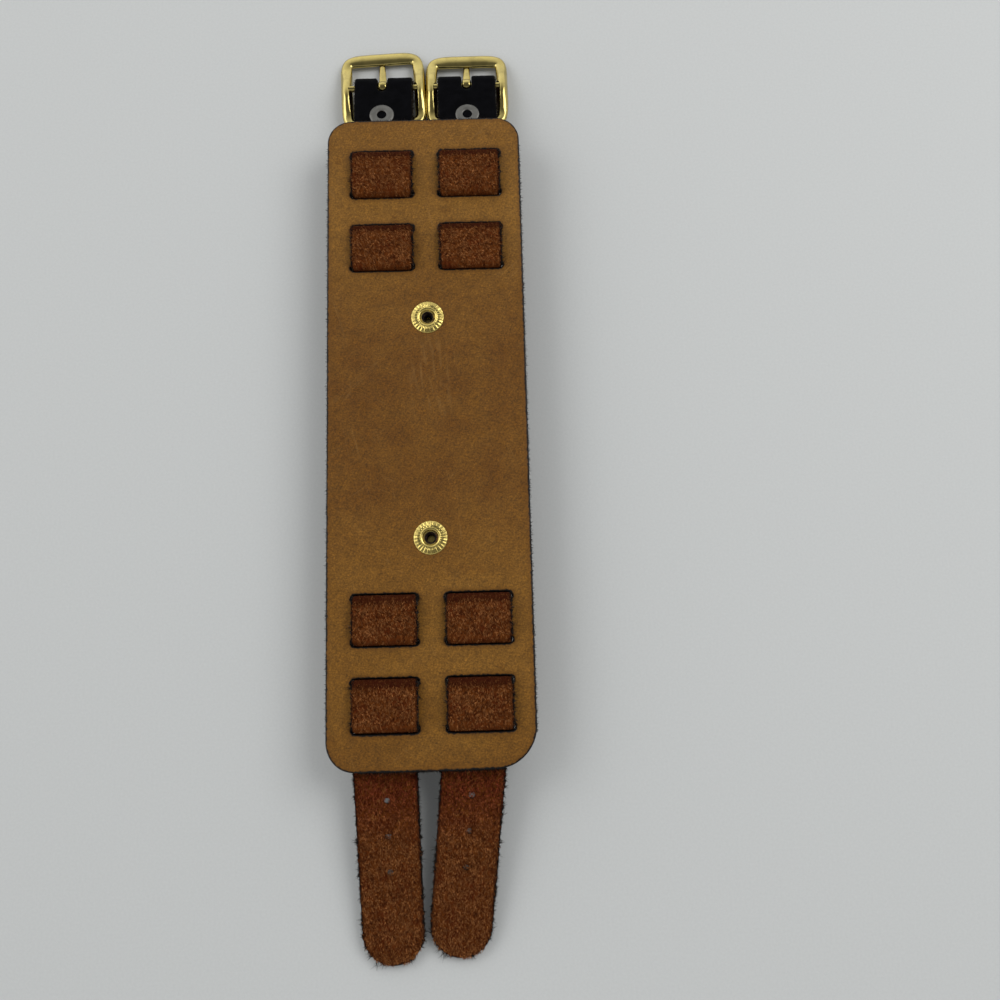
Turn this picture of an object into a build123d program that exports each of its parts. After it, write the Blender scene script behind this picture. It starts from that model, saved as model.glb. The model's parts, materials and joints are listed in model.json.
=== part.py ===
from build123d import *
import math
import os

# Cuff watch lying on its dial: a wide leather cuff, skin side up, with two buckled straps
# woven through it, and a slim hand-wound watch held under it by two leather tabs with press snaps.
# Frame: millimetres, origin at the centre of the crystal's outer face, +Y towards the
# buckles (12 o'clock), +Z from the dial towards the wrist.

# Cuff leather
cuff_width = 50.8
cuff_length = 168.0
cuff_offset_x = -0.5
cuff_thickness = 2.4
cuff_corner_radius = 7.0
cuff_edge_round = 0.4

# Slots that the straps are woven through, one pair per visible rectangle
slot_ease = 1.0
slot_width = 2.0
slot_corner_radius = 0.45
slot_end_inset = 9.75
# Places of the other slots, as shares of the way from the first slot to the snap
inner_slot_shares = (0.24096, 0.45345, 0.68565)

# Straps
strap_width = 15.4
strap_thickness = 1.6
strap_bend_radius = 1.15
strap_seat_gap = 0.05
strap_droop_radius = 22.0
strap_sag_start = 9.0
strap_tip_overhang = 45.7
left_strap_lean = 1.6
right_strap_lean = 7.3
flap_lap = 4.5
hole_radius = 0.75
hole_pitch = 8.55
hole_count = 3
first_hole_overhang = 6.9

# Buckles
buckle_overhang = 14.05
buckle_droop = 7.5
flap_slope = 9.0
frame_side_ease = 0.65
frame_spacing = 0.5
frame_length = 25.0
frame_thickness = 1.85
frame_end_bow = 0.8
frame_corner_radius = 4.4
frame_bar_width = 2.9
boss_width_share = 0.8
frame_end_width = 3.4
frame_back_depth = 0.85
frame_front_round = 0.6
frame_back_chamfer = 0.45
frame_window_round = 0.8
bar_radius = 1.0
bar_boss_length = 3.4
pivot_clearance = 0.05
prong_width = 1.8
prong_ring_wall = 0.8
prong_thickness = 1.1
prong_notch_depth = 1.05
prong_tip_setback = 0.5
prong_slot_width = 2.9
prong_slot_reach = 1.95

# Tubular rivet through each strap fold
rivet_reach = 10.8
rivet_flange_radius = 3.55
rivet_flange_thickness = 0.35
rivet_tube_radius = 1.5
rivet_bore_radius = 1.2
rivet_clinch_radius = 1.9
rivet_clinch_thickness = 0.4

# Snap fasteners
snap_reach = 8.3
post_flange_radius = 4.25
post_flange_thickness = 0.45
post_rim_share = 0.6
post_funnel_radius = 2.1
post_tube_radius = 1.35
post_bore_radius = 1.0
stud_flange_radius = 3.3
stud_flange_thickness = 0.4
stud_ball_radius = 1.7
stud_end_share = 0.8
stud_neck_share = 0.9
stud_height = 1.5
socket_radius = 3.5
socket_bore_radius = 2.3
socket_height = 1.15
socket_lip = 0.3
cap_radius = 4.5
cap_height = 1.5
cap_rim = 0.5
cap_tube_radius = 1.6
cap_tube_bore = 1.2
snap_running_gap = 0.02

# Leather tabs between the snaps and the watch
tab_side_gap = 0.3
tab_thickness = 1.2
tab_end_overhang = 6.4
tab_seat_gap = 0.1
tab_layer_gap = 0.05
tab_strap_gap = 0.12

# Watch case
watch_thickness = 7.8
case_radius = 18.0
case_wall = 4.1
case_front_z = 2.2
case_back_z = 7.0
case_flank_round = 0.9
case_ledge_z = 5.95
back_ledge_width = 1.5
lug_gap = 18.2
lug_width = 2.6
lug_end_radius = 1.8
lug_root_inset = 6.0
lug_root_height = 4.0
spring_bar_reach = 2.3
spring_bar_radius = 0.75
spring_bar_tip_radius = 0.4
spring_bar_tip_length = 0.8
bar_shoulder_gap = 0.1
crystal_thickness = 1.5
crystal_chamfer = 0.35
gasket_wall = 0.45
bezel_step = 0.7
bezel_wall = 2.65
bezel_front_z = 0.45
bezel_ledge_width = 0.7
bezel_ledge_z = 1.6
bezel_round = 0.6
part_gap = 0.05
back_lip_step = 1.3
back_plug_depth = 0.5
back_edge_round = 0.5
back_gasket_width = 1.0

# Dial and hands
dial_z = 2.32
dial_thickness = 0.4
minute_hand_z = 1.66
hour_hand_z = 1.94
hand_thickness = 0.14
minute_hand_inset = 2.3
hour_hand_step = 3.6
hour_hand_angle = 60.0
minute_hand_angle = -60.0
hand_width = 1.1
hand_tip_share = 0.35
hand_tail_length = 2.4
marker_length = 2.2
marker_width = 0.7
marker_height = 0.12
marker_inset = 2.5
hour_count = 12
quarter_count = 4
quarter_length_share = 1.5
quarter_width_share = 1.4

# Movement
plate_clearance = 0.2
plate_thickness = 1.6
plate_pocket_depth = 0.85
stem_level_share = 0.6
gear_module_share = 1 / 68.5
tooth_root_share = 1.15
tooth_tip_share = 0.85
tooth_foot_share = 0.24
tooth_top_share = 0.1
cannon_teeth = 10
minute_wheel_teeth = 30
minute_pinion_teeth = 8
hour_wheel_teeth = 32
barrel_teeth = 60
motion_wheel_thickness = 0.24
arbor_radius = 0.32
cannon_pipe_radius = 0.6
hour_pipe_radius = 0.9
running_gap = 0.03
barrel_height = 0.9
barrel_hub_radius = 0.7
bridge_thickness = 0.55
bridge_gap = 0.06
bridge_reach = 1.7
pillar_radius = 1.1
pillar_drop = 3.3
pillar_place_share = 0.9
balance_radius = 3.6
balance_rim = 0.7
balance_thickness = 0.3
balance_inset = 5.5
balance_angle = 60.0
cock_width = 4.0
cock_foot_length = 1.3
cock_rim_gap = 0.3

# Crown and winding stem
crown_radius = 2.2
crown_length = 2.4
crown_gap = 0.25
crown_bore_radius = 0.55
crown_bore_depth = 1.6
crown_flutes = 24
flute_radius = 0.16
stem_radius = 0.5
stem_length = 9.0
stem_pull = 1.2

# Levels worked out from the sizes above
strap_front_z = watch_thickness + tab_seat_gap
strap_low_z = strap_front_z + strap_thickness / 2
cuff_front_z = strap_front_z + strap_thickness + strap_seat_gap
cuff_back_z = cuff_front_z + cuff_thickness
strap_high_z = cuff_back_z + strap_seat_gap + strap_thickness / 2

# Widths that follow the strap, and the row of pieces from the case out to the snaps
slot_length = strap_width + slot_ease
frame_width = strap_width + 2 * frame_side_ease + 2 * frame_bar_width
strap_pitch = frame_width + frame_spacing
tab_width = lug_gap - 2 * tab_side_gap
spring_bar_y = case_radius + spring_bar_reach
snap_y = spring_bar_y + snap_reach
cuff_end = cuff_length / 2
first_slot_y = cuff_end - slot_end_inset
slot_span = first_slot_y - snap_y
slots_y = (first_slot_y,) + tuple(first_slot_y - share * slot_span for share in inner_slot_shares)

# Watch sizes that follow the case
lug_root_y = case_radius - lug_root_inset
case_bore_radius = case_radius - case_wall
back_recess_radius = case_bore_radius + back_ledge_width
back_lip_radius = case_radius - back_lip_step
bezel_outer_radius = case_radius - bezel_step
crystal_radius = bezel_outer_radius - bezel_wall - gasket_wall
bezel_ledge_radius = crystal_radius - bezel_ledge_width
plate_radius = case_bore_radius - plate_clearance
gear_module = plate_radius * gear_module_share
balance_orbit = plate_radius - balance_inset
marker_orbit = case_bore_radius - marker_inset
minute_hand_length = case_bore_radius - minute_hand_inset
hour_hand_length = minute_hand_length - hour_hand_step
sides = (("left", -1, left_strap_lean), ("right", 1, right_strap_lean))
ends = (("upper", 1), ("lower", -1))

os.makedirs("parts", exist_ok=True)


def keep(piece, name):
    """Labels a finished piece and writes its file."""
    piece.label = name
    export_step(piece, f"parts/{name}.step")


# Leather cuff: a rounded rectangle with sixteen slots and two snap holes
with BuildPart() as cuff:
    with BuildSketch(Plane.XY.offset(cuff_front_z)):
        with Locations((cuff_offset_x, 0)):
            RectangleRounded(cuff_width, cuff_length, cuff_corner_radius)
        slot_places = [
            (side * strap_pitch / 2, end * y)
            for _, side, _ in sides
            for _, end in ends
            for y in slots_y
        ]
        with Locations(*slot_places):
            RectangleRounded(slot_length, slot_width, slot_corner_radius, mode=Mode.SUBTRACT)
        with Locations((0, snap_y), (0, -snap_y)):
            Circle(post_tube_radius + snap_running_gap, mode=Mode.SUBTRACT)
    extrude(amount=cuff_thickness)
    rim = cuff.faces().sort_by(Axis.Z)[-1].outer_wire().edges()
    fillet(rim, cuff_edge_round)
keep(cuff.part, "cuff_base")


# Buckle frame axes: along the frame away from the cuff, and out of its back
def tilted(angle):
    """The downhill direction and the upward normal of a plane that droops by an angle."""
    turn = math.radians(angle)
    downhill = Vector(0, math.cos(turn), -math.sin(turn))
    normal = Vector(0, math.sin(turn), math.cos(turn))
    return downhill, normal


frame_run, frame_normal = tilted(buckle_droop)
flap_run, flap_normal = tilted(flap_slope)
frame_lowest = frame_back_depth + frame_thickness + prong_thickness - prong_notch_depth
bar_y = cuff_end + buckle_overhang
bar_z = frame_length / 2 * math.sin(math.radians(buckle_droop)) + frame_lowest * math.cos(
    math.radians(buckle_droop)
)
bar_centre = Vector(0, bar_y, bar_z)

# The strap's fold round the buckle bar, and its two layers up to the cuff
layer_pitch = strap_thickness + strap_seat_gap
fold_radius = bar_radius + strap_seat_gap + strap_thickness / 2
flap_top = bar_centre + flap_normal * fold_radius
flap_kink_run = (strap_low_z - flap_top.Z) / math.sin(math.radians(flap_slope))
flap_kink = flap_top - flap_run * flap_kink_run
rise_reach = rivet_reach - rivet_clinch_radius - rivet_tube_radius / 2
main_rise = flap_top - flap_normal * layer_pitch - flap_run * rise_reach
main_flat_z = strap_low_z - layer_pitch
main_kink_run = (main_flat_z - main_rise.Z) / math.sin(math.radians(flap_slope))
main_kink = main_rise - flap_run * main_kink_run
flap_end_y = cuff_end - flap_lap
main_climb_y = flap_end_y - strap_thickness


def strap_route():
    """Corners of the strap's centre line in the YZ plane, with the radius of each bend."""
    fold_high = flap_top + flap_run * fold_radius
    fold_low = bar_centre - flap_normal * fold_radius + flap_run * fold_radius
    under_bar = bar_centre - flap_normal * fold_radius - flap_run * bar_radius / 2
    route = [
        ((flap_end_y, strap_low_z), None),
        ((flap_kink.Y, flap_kink.Z), strap_bend_radius * 3),
        ((fold_high.Y, fold_high.Z), fold_radius),
        ((fold_low.Y, fold_low.Z), fold_radius),
        ((under_bar.Y, under_bar.Z), strap_bend_radius),
        ((main_rise.Y, main_rise.Z), strap_bend_radius),
        ((main_kink.Y, main_kink.Z), strap_bend_radius * 3),
        ((main_climb_y, main_flat_z), strap_bend_radius),
        ((main_climb_y - layer_pitch, strap_low_z), strap_bend_radius),
    ]
    level, other = strap_low_z, strap_high_z
    for y in slots_y + tuple(-y for y in reversed(slots_y)):
        route += [((y, level), strap_bend_radius), ((y, other), strap_bend_radius)]
        level, other = other, level
    sag_y = -cuff_end + strap_sag_start - strap_bend_radius * 2
    route.append(((sag_y, strap_low_z), strap_droop_radius))
    tip_y = -cuff_end - strap_tip_overhang
    fall = (strap_low_z - strap_thickness / 2) / (sag_y - tip_y)
    tip_z = strap_thickness / 2 * math.hypot(1, fall) + strap_seat_gap
    route.append(((tip_y, tip_z), None))
    return route


route = strap_route()
route_points = [point for point, _ in route]
route_radii = [radius for _, radius in route[1:-1]]
strap_top_y = bar_y + fold_radius + strap_thickness
lean_y = -max(slots_y) - strap_bend_radius * 2

for name, side, lean in sides:
    strap_x = side * strap_pitch / 2
    lean_length = cuff_end + strap_tip_overhang - strap_width / 2 + lean_y
    hole_start = cuff_end + first_hole_overhang + lean_y
    with BuildPart() as strap:
        with BuildSketch(Plane.YZ.offset(strap_x)):
            with BuildLine():
                FilletPolyline(*route_points, radius=route_radii)
            trace(line_width=strap_thickness)
        extrude(amount=strap_width, both=True)
        # Plan outline: straight through the cuff, then leaning inwards to a round tip
        with BuildSketch():
            with Locations((strap_x, (strap_top_y + lean_y) / 2)):
                Rectangle(strap_width, strap_top_y - lean_y)
            with Locations(Location((strap_x, lean_y), side * -lean)):
                Circle(strap_width / 2)
                with Locations((0, -lean_length / 2)):
                    Rectangle(strap_width, lean_length)
                with Locations((0, -lean_length)):
                    Circle(strap_width / 2)
                for n in range(hole_count):
                    with Locations((0, -hole_start - n * hole_pitch)):
                        Circle(hole_radius, mode=Mode.SUBTRACT)
        extrude(amount=strap_high_z + strap_thickness, mode=Mode.INTERSECT)
        # Slot for the prong at the fold, and the hole for the rivet
        prong_slot_length = prong_slot_reach + fold_radius + strap_thickness
        slot_plane = Plane(bar_centre + Vector(strap_x, 0, 0), x_dir=(1, 0, 0), z_dir=frame_normal)
        with BuildSketch(slot_plane):
            with Locations((0, prong_slot_length / 2 - prong_slot_reach)):
                Rectangle(prong_slot_width, prong_slot_length)
            with Locations((0, -prong_slot_reach)):
                Circle(prong_slot_width / 2)
        extrude(amount=fold_radius + strap_thickness, both=True, mode=Mode.SUBTRACT)
        rivet_seat = flap_top - flap_run * rivet_reach + flap_normal * strap_thickness / 2
        rivet_plane = Plane(rivet_seat + Vector(strap_x, 0, 0), x_dir=(1, 0, 0), z_dir=flap_normal)
        with BuildSketch(rivet_plane):
            Circle(rivet_tube_radius + snap_running_gap)
        extrude(amount=strap_thickness + layer_pitch, both=True, mode=Mode.SUBTRACT)
    keep(strap.part, f"{name}_strap")

    # Tubular rivet: a wide flange on the flap, a tube, and a rolled end under both layers
    grip = strap_thickness + layer_pitch
    with BuildPart() as rivet:
        with BuildSketch(rivet_plane):
            Circle(rivet_flange_radius)
        extrude(amount=rivet_flange_thickness)
        flange_rims = rivet.edges().filter_by(GeomType.CIRCLE)
        fillet(flange_rims.sort_by(Axis(rivet_seat, flap_normal))[-1], rivet_flange_thickness / 3)
        with BuildSketch(rivet_plane):
            Circle(rivet_tube_radius)
        extrude(amount=-grip)
        with BuildSketch(rivet_plane.offset(-grip)):
            Circle(rivet_clinch_radius)
        extrude(amount=-rivet_clinch_thickness)
        with BuildSketch(rivet_plane.offset(rivet_flange_thickness)):
            Circle(rivet_bore_radius)
        extrude(amount=-grip - rivet_flange_thickness - rivet_clinch_thickness, mode=Mode.SUBTRACT)
    keep(rivet.part, f"{name}_fold_rivet")

    # Buckle frame: a bowed ring with a round bar across its middle
    buckle_plane = Plane(bar_centre + Vector(strap_x, 0, 0), x_dir=(1, 0, 0), z_dir=frame_normal)
    half_width = frame_width / 2
    half_length = frame_length / 2
    window_half_length = half_length - frame_end_width
    with BuildPart() as frame:
        with BuildSketch(buckle_plane.offset(-frame_back_depth)) as ring:
            with BuildLine():
                corner_y = half_length - frame_end_bow
                Line((-half_width, -corner_y), (-half_width, corner_y))
                ThreePointArc((-half_width, corner_y), (0, half_length), (half_width, corner_y))
                Line((half_width, corner_y), (half_width, -corner_y))
                ThreePointArc((half_width, -corner_y), (0, -half_length), (-half_width, -corner_y))
            make_face()
            fillet(ring.vertices(), frame_corner_radius)
            RectangleRounded(
                frame_width - 2 * frame_bar_width,
                2 * window_half_length,
                frame_window_round,
                mode=Mode.SUBTRACT,
            )
        extrude(amount=-frame_thickness)
        by_depth = frame.faces().sort_by(Axis(buckle_plane.origin, frame_normal))
        front_rim = by_depth[0].outer_wire().edges()
        back_rim = by_depth[-1].outer_wire().edges()
        fillet(front_rim, frame_front_round)
        chamfer(back_rim, frame_back_chamfer)
        # Bosses on the side bars carry the centre bar
        boss_x = half_width - frame_bar_width / 2
        with BuildSketch(buckle_plane.offset(bar_radius)):
            with Locations((-boss_x, 0), (boss_x, 0)):
                RectangleRounded(frame_bar_width * boss_width_share, bar_boss_length, frame_window_round)
        extrude(amount=-bar_radius - frame_back_depth - frame_thickness / 2)
        with BuildSketch(Plane(buckle_plane.origin, x_dir=frame_run, z_dir=(1, 0, 0))):
            Circle(bar_radius)
        extrude(amount=boss_x, both=True)
        # Notch in the far end where the prong rests
        front_depth = frame_back_depth + frame_thickness
        with BuildSketch(buckle_plane.offset(-front_depth)):
            with Locations((0, half_length - frame_end_width / 2)):
                Rectangle(prong_width + 4 * pivot_clearance, frame_end_width * 2)
        extrude(amount=prong_notch_depth + pivot_clearance, mode=Mode.SUBTRACT)
    keep(frame.part, f"{name}_buckle_frame")

    # Prong: a ring on the bar and a straight tongue that lies in the far end's notch
    ring_radius = bar_radius + pivot_clearance + prong_ring_wall
    tongue_top = prong_notch_depth - front_depth
    tongue_end = half_length - prong_tip_setback
    with BuildPart() as prong:
        with BuildSketch(Plane(buckle_plane.origin, x_dir=frame_run, z_dir=(1, 0, 0))):
            Circle(ring_radius)
            with BuildLine():
                Polyline(
                    (0, bar_radius + pivot_clearance),
                    (window_half_length, tongue_top - pivot_clearance),
                    (tongue_end - prong_thickness / 2, tongue_top - pivot_clearance),
                    (tongue_end, tongue_top - prong_thickness / 2),
                    (tongue_end - prong_thickness / 2, tongue_top - prong_thickness),
                    (window_half_length - prong_thickness, tongue_top - prong_thickness),
                    (0, -bar_radius - prong_ring_wall / 2),
                    close=True,
                )
            make_face()
            Circle(bar_radius + pivot_clearance, mode=Mode.SUBTRACT)
        extrude(amount=prong_width / 2, both=True)
        long_edges = prong.edges().filter_by(Axis.X).group_by(SortBy.DISTANCE)[-1]
        fillet(long_edges, prong_thickness / 8)
    keep(prong.part, f"{name}_buckle_prong")

# Watch tabs: a leather strip looped round the spring bar, both layers held by the snap cap
tab_top_z = strap_front_z - tab_strap_gap
loop_radius = spring_bar_radius + pivot_clearance + tab_thickness / 2
spring_bar_z = tab_top_z - tab_thickness / 2 - loop_radius
tab_end_y = snap_y + tab_end_overhang
tab_upper_z = tab_top_z - tab_thickness / 2
tab_lower_z = tab_upper_z - tab_thickness - tab_layer_gap
tab_bottom_z = tab_lower_z - tab_thickness / 2
loop_near_y = spring_bar_y - loop_radius
loop_low_z = spring_bar_z - loop_radius
tab_join_y = spring_bar_y + 2 * loop_radius

for name, end in ends:
    with BuildPart() as tab:
        with BuildSketch(Plane.YZ):
            with BuildLine():
                tab_points = [
                    (end * tab_end_y, tab_upper_z),
                    (end * loop_near_y, tab_upper_z),
                    (end * loop_near_y, loop_low_z),
                    (end * (spring_bar_y + loop_radius / 2), loop_low_z),
                    (end * (tab_join_y + loop_radius / 2), tab_lower_z),
                    (end * tab_end_y, tab_lower_z),
                ]
                tab_radii = [loop_radius, loop_radius, tab_thickness, tab_thickness]
                FilletPolyline(*tab_points, radius=tab_radii)
            trace(line_width=tab_thickness)
        extrude(amount=tab_width / 2, both=True)
        # Plan outline with a rounded end, and the hole for the cap's tube
        with BuildSketch():
            with Locations((0, end * (tab_end_y + loop_near_y) / 2)):
                plan_length = tab_end_y - loop_near_y + 2 * tab_thickness
                RectangleRounded(tab_width, plan_length, tab_end_overhang / 2)
            with Locations((0, end * loop_near_y)):
                Rectangle(tab_width, tab_end_overhang)
            with Locations((0, end * snap_y)):
                Circle(cap_tube_radius + snap_running_gap, mode=Mode.SUBTRACT)
        extrude(amount=cuff_front_z, mode=Mode.INTERSECT)
    keep(tab.part, f"{name}_watch_tab")

    snap_axis = Plane((0, end * snap_y, 0), x_dir=(1, 0, 0), z_dir=(0, -1, 0))

    # Post: the wide dimpled flange on the skin side, with its tube through the cuff
    with BuildPart() as post:
        with BuildSketch(snap_axis):
            with BuildLine():
                post_top = cuff_back_z + post_flange_thickness
                tube_end = cuff_front_z - stud_flange_thickness / 2
                rim_z = cuff_back_z + post_flange_thickness * post_rim_share
                rim_radius = post_flange_radius - post_flange_thickness / 2
                Polyline(
                    (post_bore_radius, tube_end),
                    (post_tube_radius, tube_end),
                    (post_tube_radius, cuff_back_z),
                    (post_flange_radius, cuff_back_z),
                    (rim_radius, rim_z),
                    (post_funnel_radius, post_top),
                    (post_bore_radius, cuff_back_z + post_flange_thickness / 4),
                    close=True,
                )
            make_face()
        revolve(axis=Axis((0, end * snap_y, 0), (0, 0, 1)))
    keep(post.part, f"{name}_snap_post")

    # Stud: a flange on the front of the cuff and a hollow ball that the socket grips
    with BuildPart() as stud:
        with BuildSketch(snap_axis):
            with BuildLine():
                stud_low_z = cuff_front_z - stud_height
                neck_z = cuff_front_z - stud_flange_thickness
                ball_z = (stud_low_z + neck_z) / 2
                shell_radius = post_tube_radius + snap_running_gap
                Polyline(
                    (0, stud_low_z),
                    (stud_ball_radius * stud_end_share, stud_low_z),
                    (stud_ball_radius, ball_z),
                    (stud_ball_radius * stud_neck_share, neck_z),
                    (stud_flange_radius, neck_z),
                    (stud_flange_radius, cuff_front_z),
                    (shell_radius, cuff_front_z),
                    (shell_radius, neck_z),
                    (post_bore_radius, ball_z),
                    (0, ball_z),
                    close=True,
                )
            make_face()
        revolve(axis=Axis((0, end * snap_y, 0), (0, 0, 1)))
    keep(stud.part, f"{name}_snap_stud")

    # Socket: a ring on the tab that takes the stud, between the two straps
    with BuildPart() as socket:
        with BuildSketch(snap_axis):
            with BuildLine():
                socket_top = tab_top_z + socket_height
                Polyline(
                    (cap_tube_radius + snap_running_gap, tab_top_z),
                    (socket_radius - socket_lip, tab_top_z),
                    (socket_radius, tab_top_z + socket_lip),
                    (socket_radius, socket_top - socket_lip),
                    (socket_radius - socket_lip, socket_top),
                    (socket_bore_radius, socket_top),
                    (socket_bore_radius, tab_top_z + socket_lip),
                    (cap_tube_radius + snap_running_gap, tab_top_z + socket_lip),
                    close=True,
                )
            make_face()
        revolve(axis=Axis((0, end * snap_y, 0), (0, 0, 1)))
    keep(socket.part, f"{name}_snap_socket")

    # Cap: a domed head under the tab, with its tube through both leather layers
    with BuildPart() as cap:
        with BuildSketch(snap_axis):
            with BuildLine():
                cap_rise = cap_height - cap_rim
                dome_radius = (cap_radius**2 + cap_rise**2) / (2 * cap_rise)
                roll_z = tab_top_z + socket_lip / 2
                head_z = tab_bottom_z - cap_height
                RadiusArc((0, head_z), (cap_radius, tab_bottom_z - cap_rim), -dome_radius)
                Polyline(
                    (cap_radius, tab_bottom_z - cap_rim),
                    (cap_radius, tab_bottom_z),
                    (cap_tube_radius, tab_bottom_z),
                    (cap_tube_radius, roll_z),
                    (cap_tube_bore, roll_z),
                    (cap_tube_bore, tab_bottom_z - cap_rim),
                    (0, tab_bottom_z - cap_rim),
                    (0, head_z),
                )
            make_face()
        revolve(axis=Axis((0, end * snap_y, 0), (0, 0, 1)))
    keep(cap.part, f"{name}_snap_cap")

    # Spring bar: a tube between the lugs with a thin tip in each
    with BuildPart() as spring_bar:
        with BuildSketch(Plane.YZ):
            with Locations((end * spring_bar_y, spring_bar_z)):
                Circle(spring_bar_radius)
        extrude(amount=lug_gap / 2 - bar_shoulder_gap, both=True)
        with BuildSketch(Plane.YZ):
            with Locations((end * spring_bar_y, spring_bar_z)):
                Circle(spring_bar_tip_radius)
        extrude(amount=lug_gap / 2 + spring_bar_tip_length, both=True)
    keep(spring_bar.part, f"{name}_spring_bar")

# Watch case: a turned middle with four lugs, open at the dial and at the back
stem_z = dial_z + dial_thickness + part_gap + plate_thickness * stem_level_share
with BuildPart() as case:
    with BuildSketch(Plane.XY.offset(case_front_z)):
        Circle(case_radius)
    extrude(amount=case_back_z - case_front_z)
    fillet(case.edges().filter_by(GeomType.CIRCLE), case_flank_round)
    for _, end in ends:
        for x in (-1, 1):
            lug_x = x * (lug_gap + lug_width) / 2
            with BuildSketch(Plane.YZ.offset(lug_x)):
                with Locations((end * spring_bar_y, spring_bar_z)):
                    Circle(lug_end_radius)
                with Locations((end * lug_root_y, (case_front_z + case_back_z) / 2)):
                    Rectangle(lug_width, lug_root_height)
                make_hull()
            extrude(amount=lug_width / 2, both=True)
            with BuildSketch(Plane.YZ.offset(lug_x)):
                with Locations((end * spring_bar_y, spring_bar_z)):
                    Circle(spring_bar_tip_radius + snap_running_gap)
            extrude(amount=-x * lug_width / 2, mode=Mode.SUBTRACT)
    with BuildSketch(Plane.XY.offset(case_front_z)):
        Circle(case_bore_radius)
    extrude(amount=case_back_z - case_front_z, mode=Mode.SUBTRACT)
    with BuildSketch(Plane.XY.offset(case_ledge_z)):
        Circle(back_recess_radius)
    extrude(amount=case_back_z - case_ledge_z, mode=Mode.SUBTRACT)
    with BuildSketch(Plane.YZ):
        with Locations((0, stem_z)):
            Circle(stem_radius + running_gap)
    extrude(amount=-case_radius, mode=Mode.SUBTRACT)
keep(case.part, "watch_case")

# Bezel with the ledge that the crystal and its gasket sit on
gasket_outer_radius = crystal_radius + gasket_wall
with BuildPart() as bezel:
    with BuildSketch(Plane.XY.offset(bezel_front_z)):
        Circle(bezel_outer_radius)
        Circle(gasket_outer_radius, mode=Mode.SUBTRACT)
    extrude(amount=bezel_ledge_z - bezel_front_z)
    front_edges = bezel.edges().filter_by(GeomType.CIRCLE).group_by(Axis.Z)[0]
    fillet(front_edges.sort_by(SortBy.RADIUS)[-1], bezel_round)
    with BuildSketch(Plane.XY.offset(bezel_ledge_z)):
        Circle(bezel_outer_radius)
        Circle(bezel_ledge_radius, mode=Mode.SUBTRACT)
    extrude(amount=case_front_z - bezel_ledge_z)
keep(bezel.part, "bezel")

with BuildPart() as crystal:
    with BuildSketch():
        Circle(crystal_radius)
    extrude(amount=crystal_thickness)
    chamfer(crystal.edges().group_by(Axis.Z)[0], crystal_chamfer)
keep(crystal.part, "crystal")

with BuildPart() as crystal_gasket:
    with BuildSketch(Plane.XY.offset(bezel_front_z)):
        Circle(gasket_outer_radius)
        Circle(crystal_radius, mode=Mode.SUBTRACT)
    extrude(amount=crystal_thickness - bezel_front_z)
keep(crystal_gasket.part, "crystal_gasket")

# Dial with twelve raised hour markers, the quarter ones longer
hour_pipe_hole = hour_pipe_radius + running_gap
with BuildPart() as dial:
    with BuildSketch(Plane.XY.offset(dial_z)):
        Circle(case_bore_radius - part_gap)
        Circle(hour_pipe_hole, mode=Mode.SUBTRACT)
    extrude(amount=dial_thickness)
    with BuildSketch(Plane.XY.offset(dial_z)):
        with PolarLocations(marker_orbit, hour_count):
            Rectangle(marker_length, marker_width)
        with PolarLocations(marker_orbit - marker_length / 4, quarter_count):
            Rectangle(marker_length * quarter_length_share, marker_width * quarter_width_share)
    extrude(amount=-marker_height)
keep(dial.part, "dial")


def hand_outline(length, pipe_radius, bore_radius):
    """Adds a tapering hand that points to +Y, with a round boss, to the open sketch."""
    Polygon(
        (-hand_width / 2, -hand_tail_length),
        (hand_width / 2, -hand_tail_length),
        (hand_width / 2, length * (1 - hand_tip_share)),
        (0, length),
        (-hand_width / 2, length * (1 - hand_tip_share)),
        align=None,
    )
    Circle(pipe_radius + hand_width / 2)
    Circle(bore_radius, mode=Mode.SUBTRACT)


def gear_outline(teeth, middle_tooth):
    """Adds a toothed wheel to the open sketch, one tooth centred on an angle in degrees."""
    pitch_radius = gear_module * teeth / 2
    root_radius = pitch_radius - tooth_root_share * gear_module
    tip_radius = pitch_radius + tooth_tip_share * gear_module
    flanks = (
        (root_radius, -tooth_foot_share),
        (tip_radius, -tooth_top_share),
        (tip_radius, tooth_top_share),
        (root_radius, tooth_foot_share),
    )
    corners = []
    for tooth in range(teeth):
        for radius, share in flanks:
            angle = math.radians(middle_tooth + (tooth + share) * 360 / teeth)
            corners.append((radius * math.cos(angle), radius * math.sin(angle)))
    Polygon(*corners, align=None)


# Motion work between the dial and the main plate
plate_z = dial_z + dial_thickness + part_gap
hour_wheel_z = plate_z + part_gap
cannon_z = hour_wheel_z + motion_wheel_thickness + part_gap
motion_centre = gear_module * (cannon_teeth + minute_wheel_teeth) / 2

with BuildPart() as hour_wheel:
    with BuildSketch(Plane.XY.offset(hour_wheel_z)):
        gear_outline(hour_wheel_teeth, 90)
    extrude(amount=motion_wheel_thickness)
    with BuildSketch(Plane.XY.offset(hour_hand_z)):
        Circle(hour_pipe_radius)
    extrude(amount=hour_wheel_z - hour_hand_z)
    with BuildSketch(Plane.XY.offset(hour_hand_z)):
        Circle(cannon_pipe_radius + running_gap)
    extrude(amount=cannon_z - hour_hand_z, mode=Mode.SUBTRACT)
keep(hour_wheel.part, "hour_wheel")

with BuildPart() as hour_hand:
    with BuildSketch(Plane.XY.offset(hour_hand_z)):
        hand_outline(hour_hand_length, hour_pipe_radius, hour_pipe_radius)
    extrude(amount=hand_thickness)
    turned_hour = hour_hand.part.rotate(Axis.Z, hour_hand_angle)
keep(turned_hour, "hour_hand")

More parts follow.
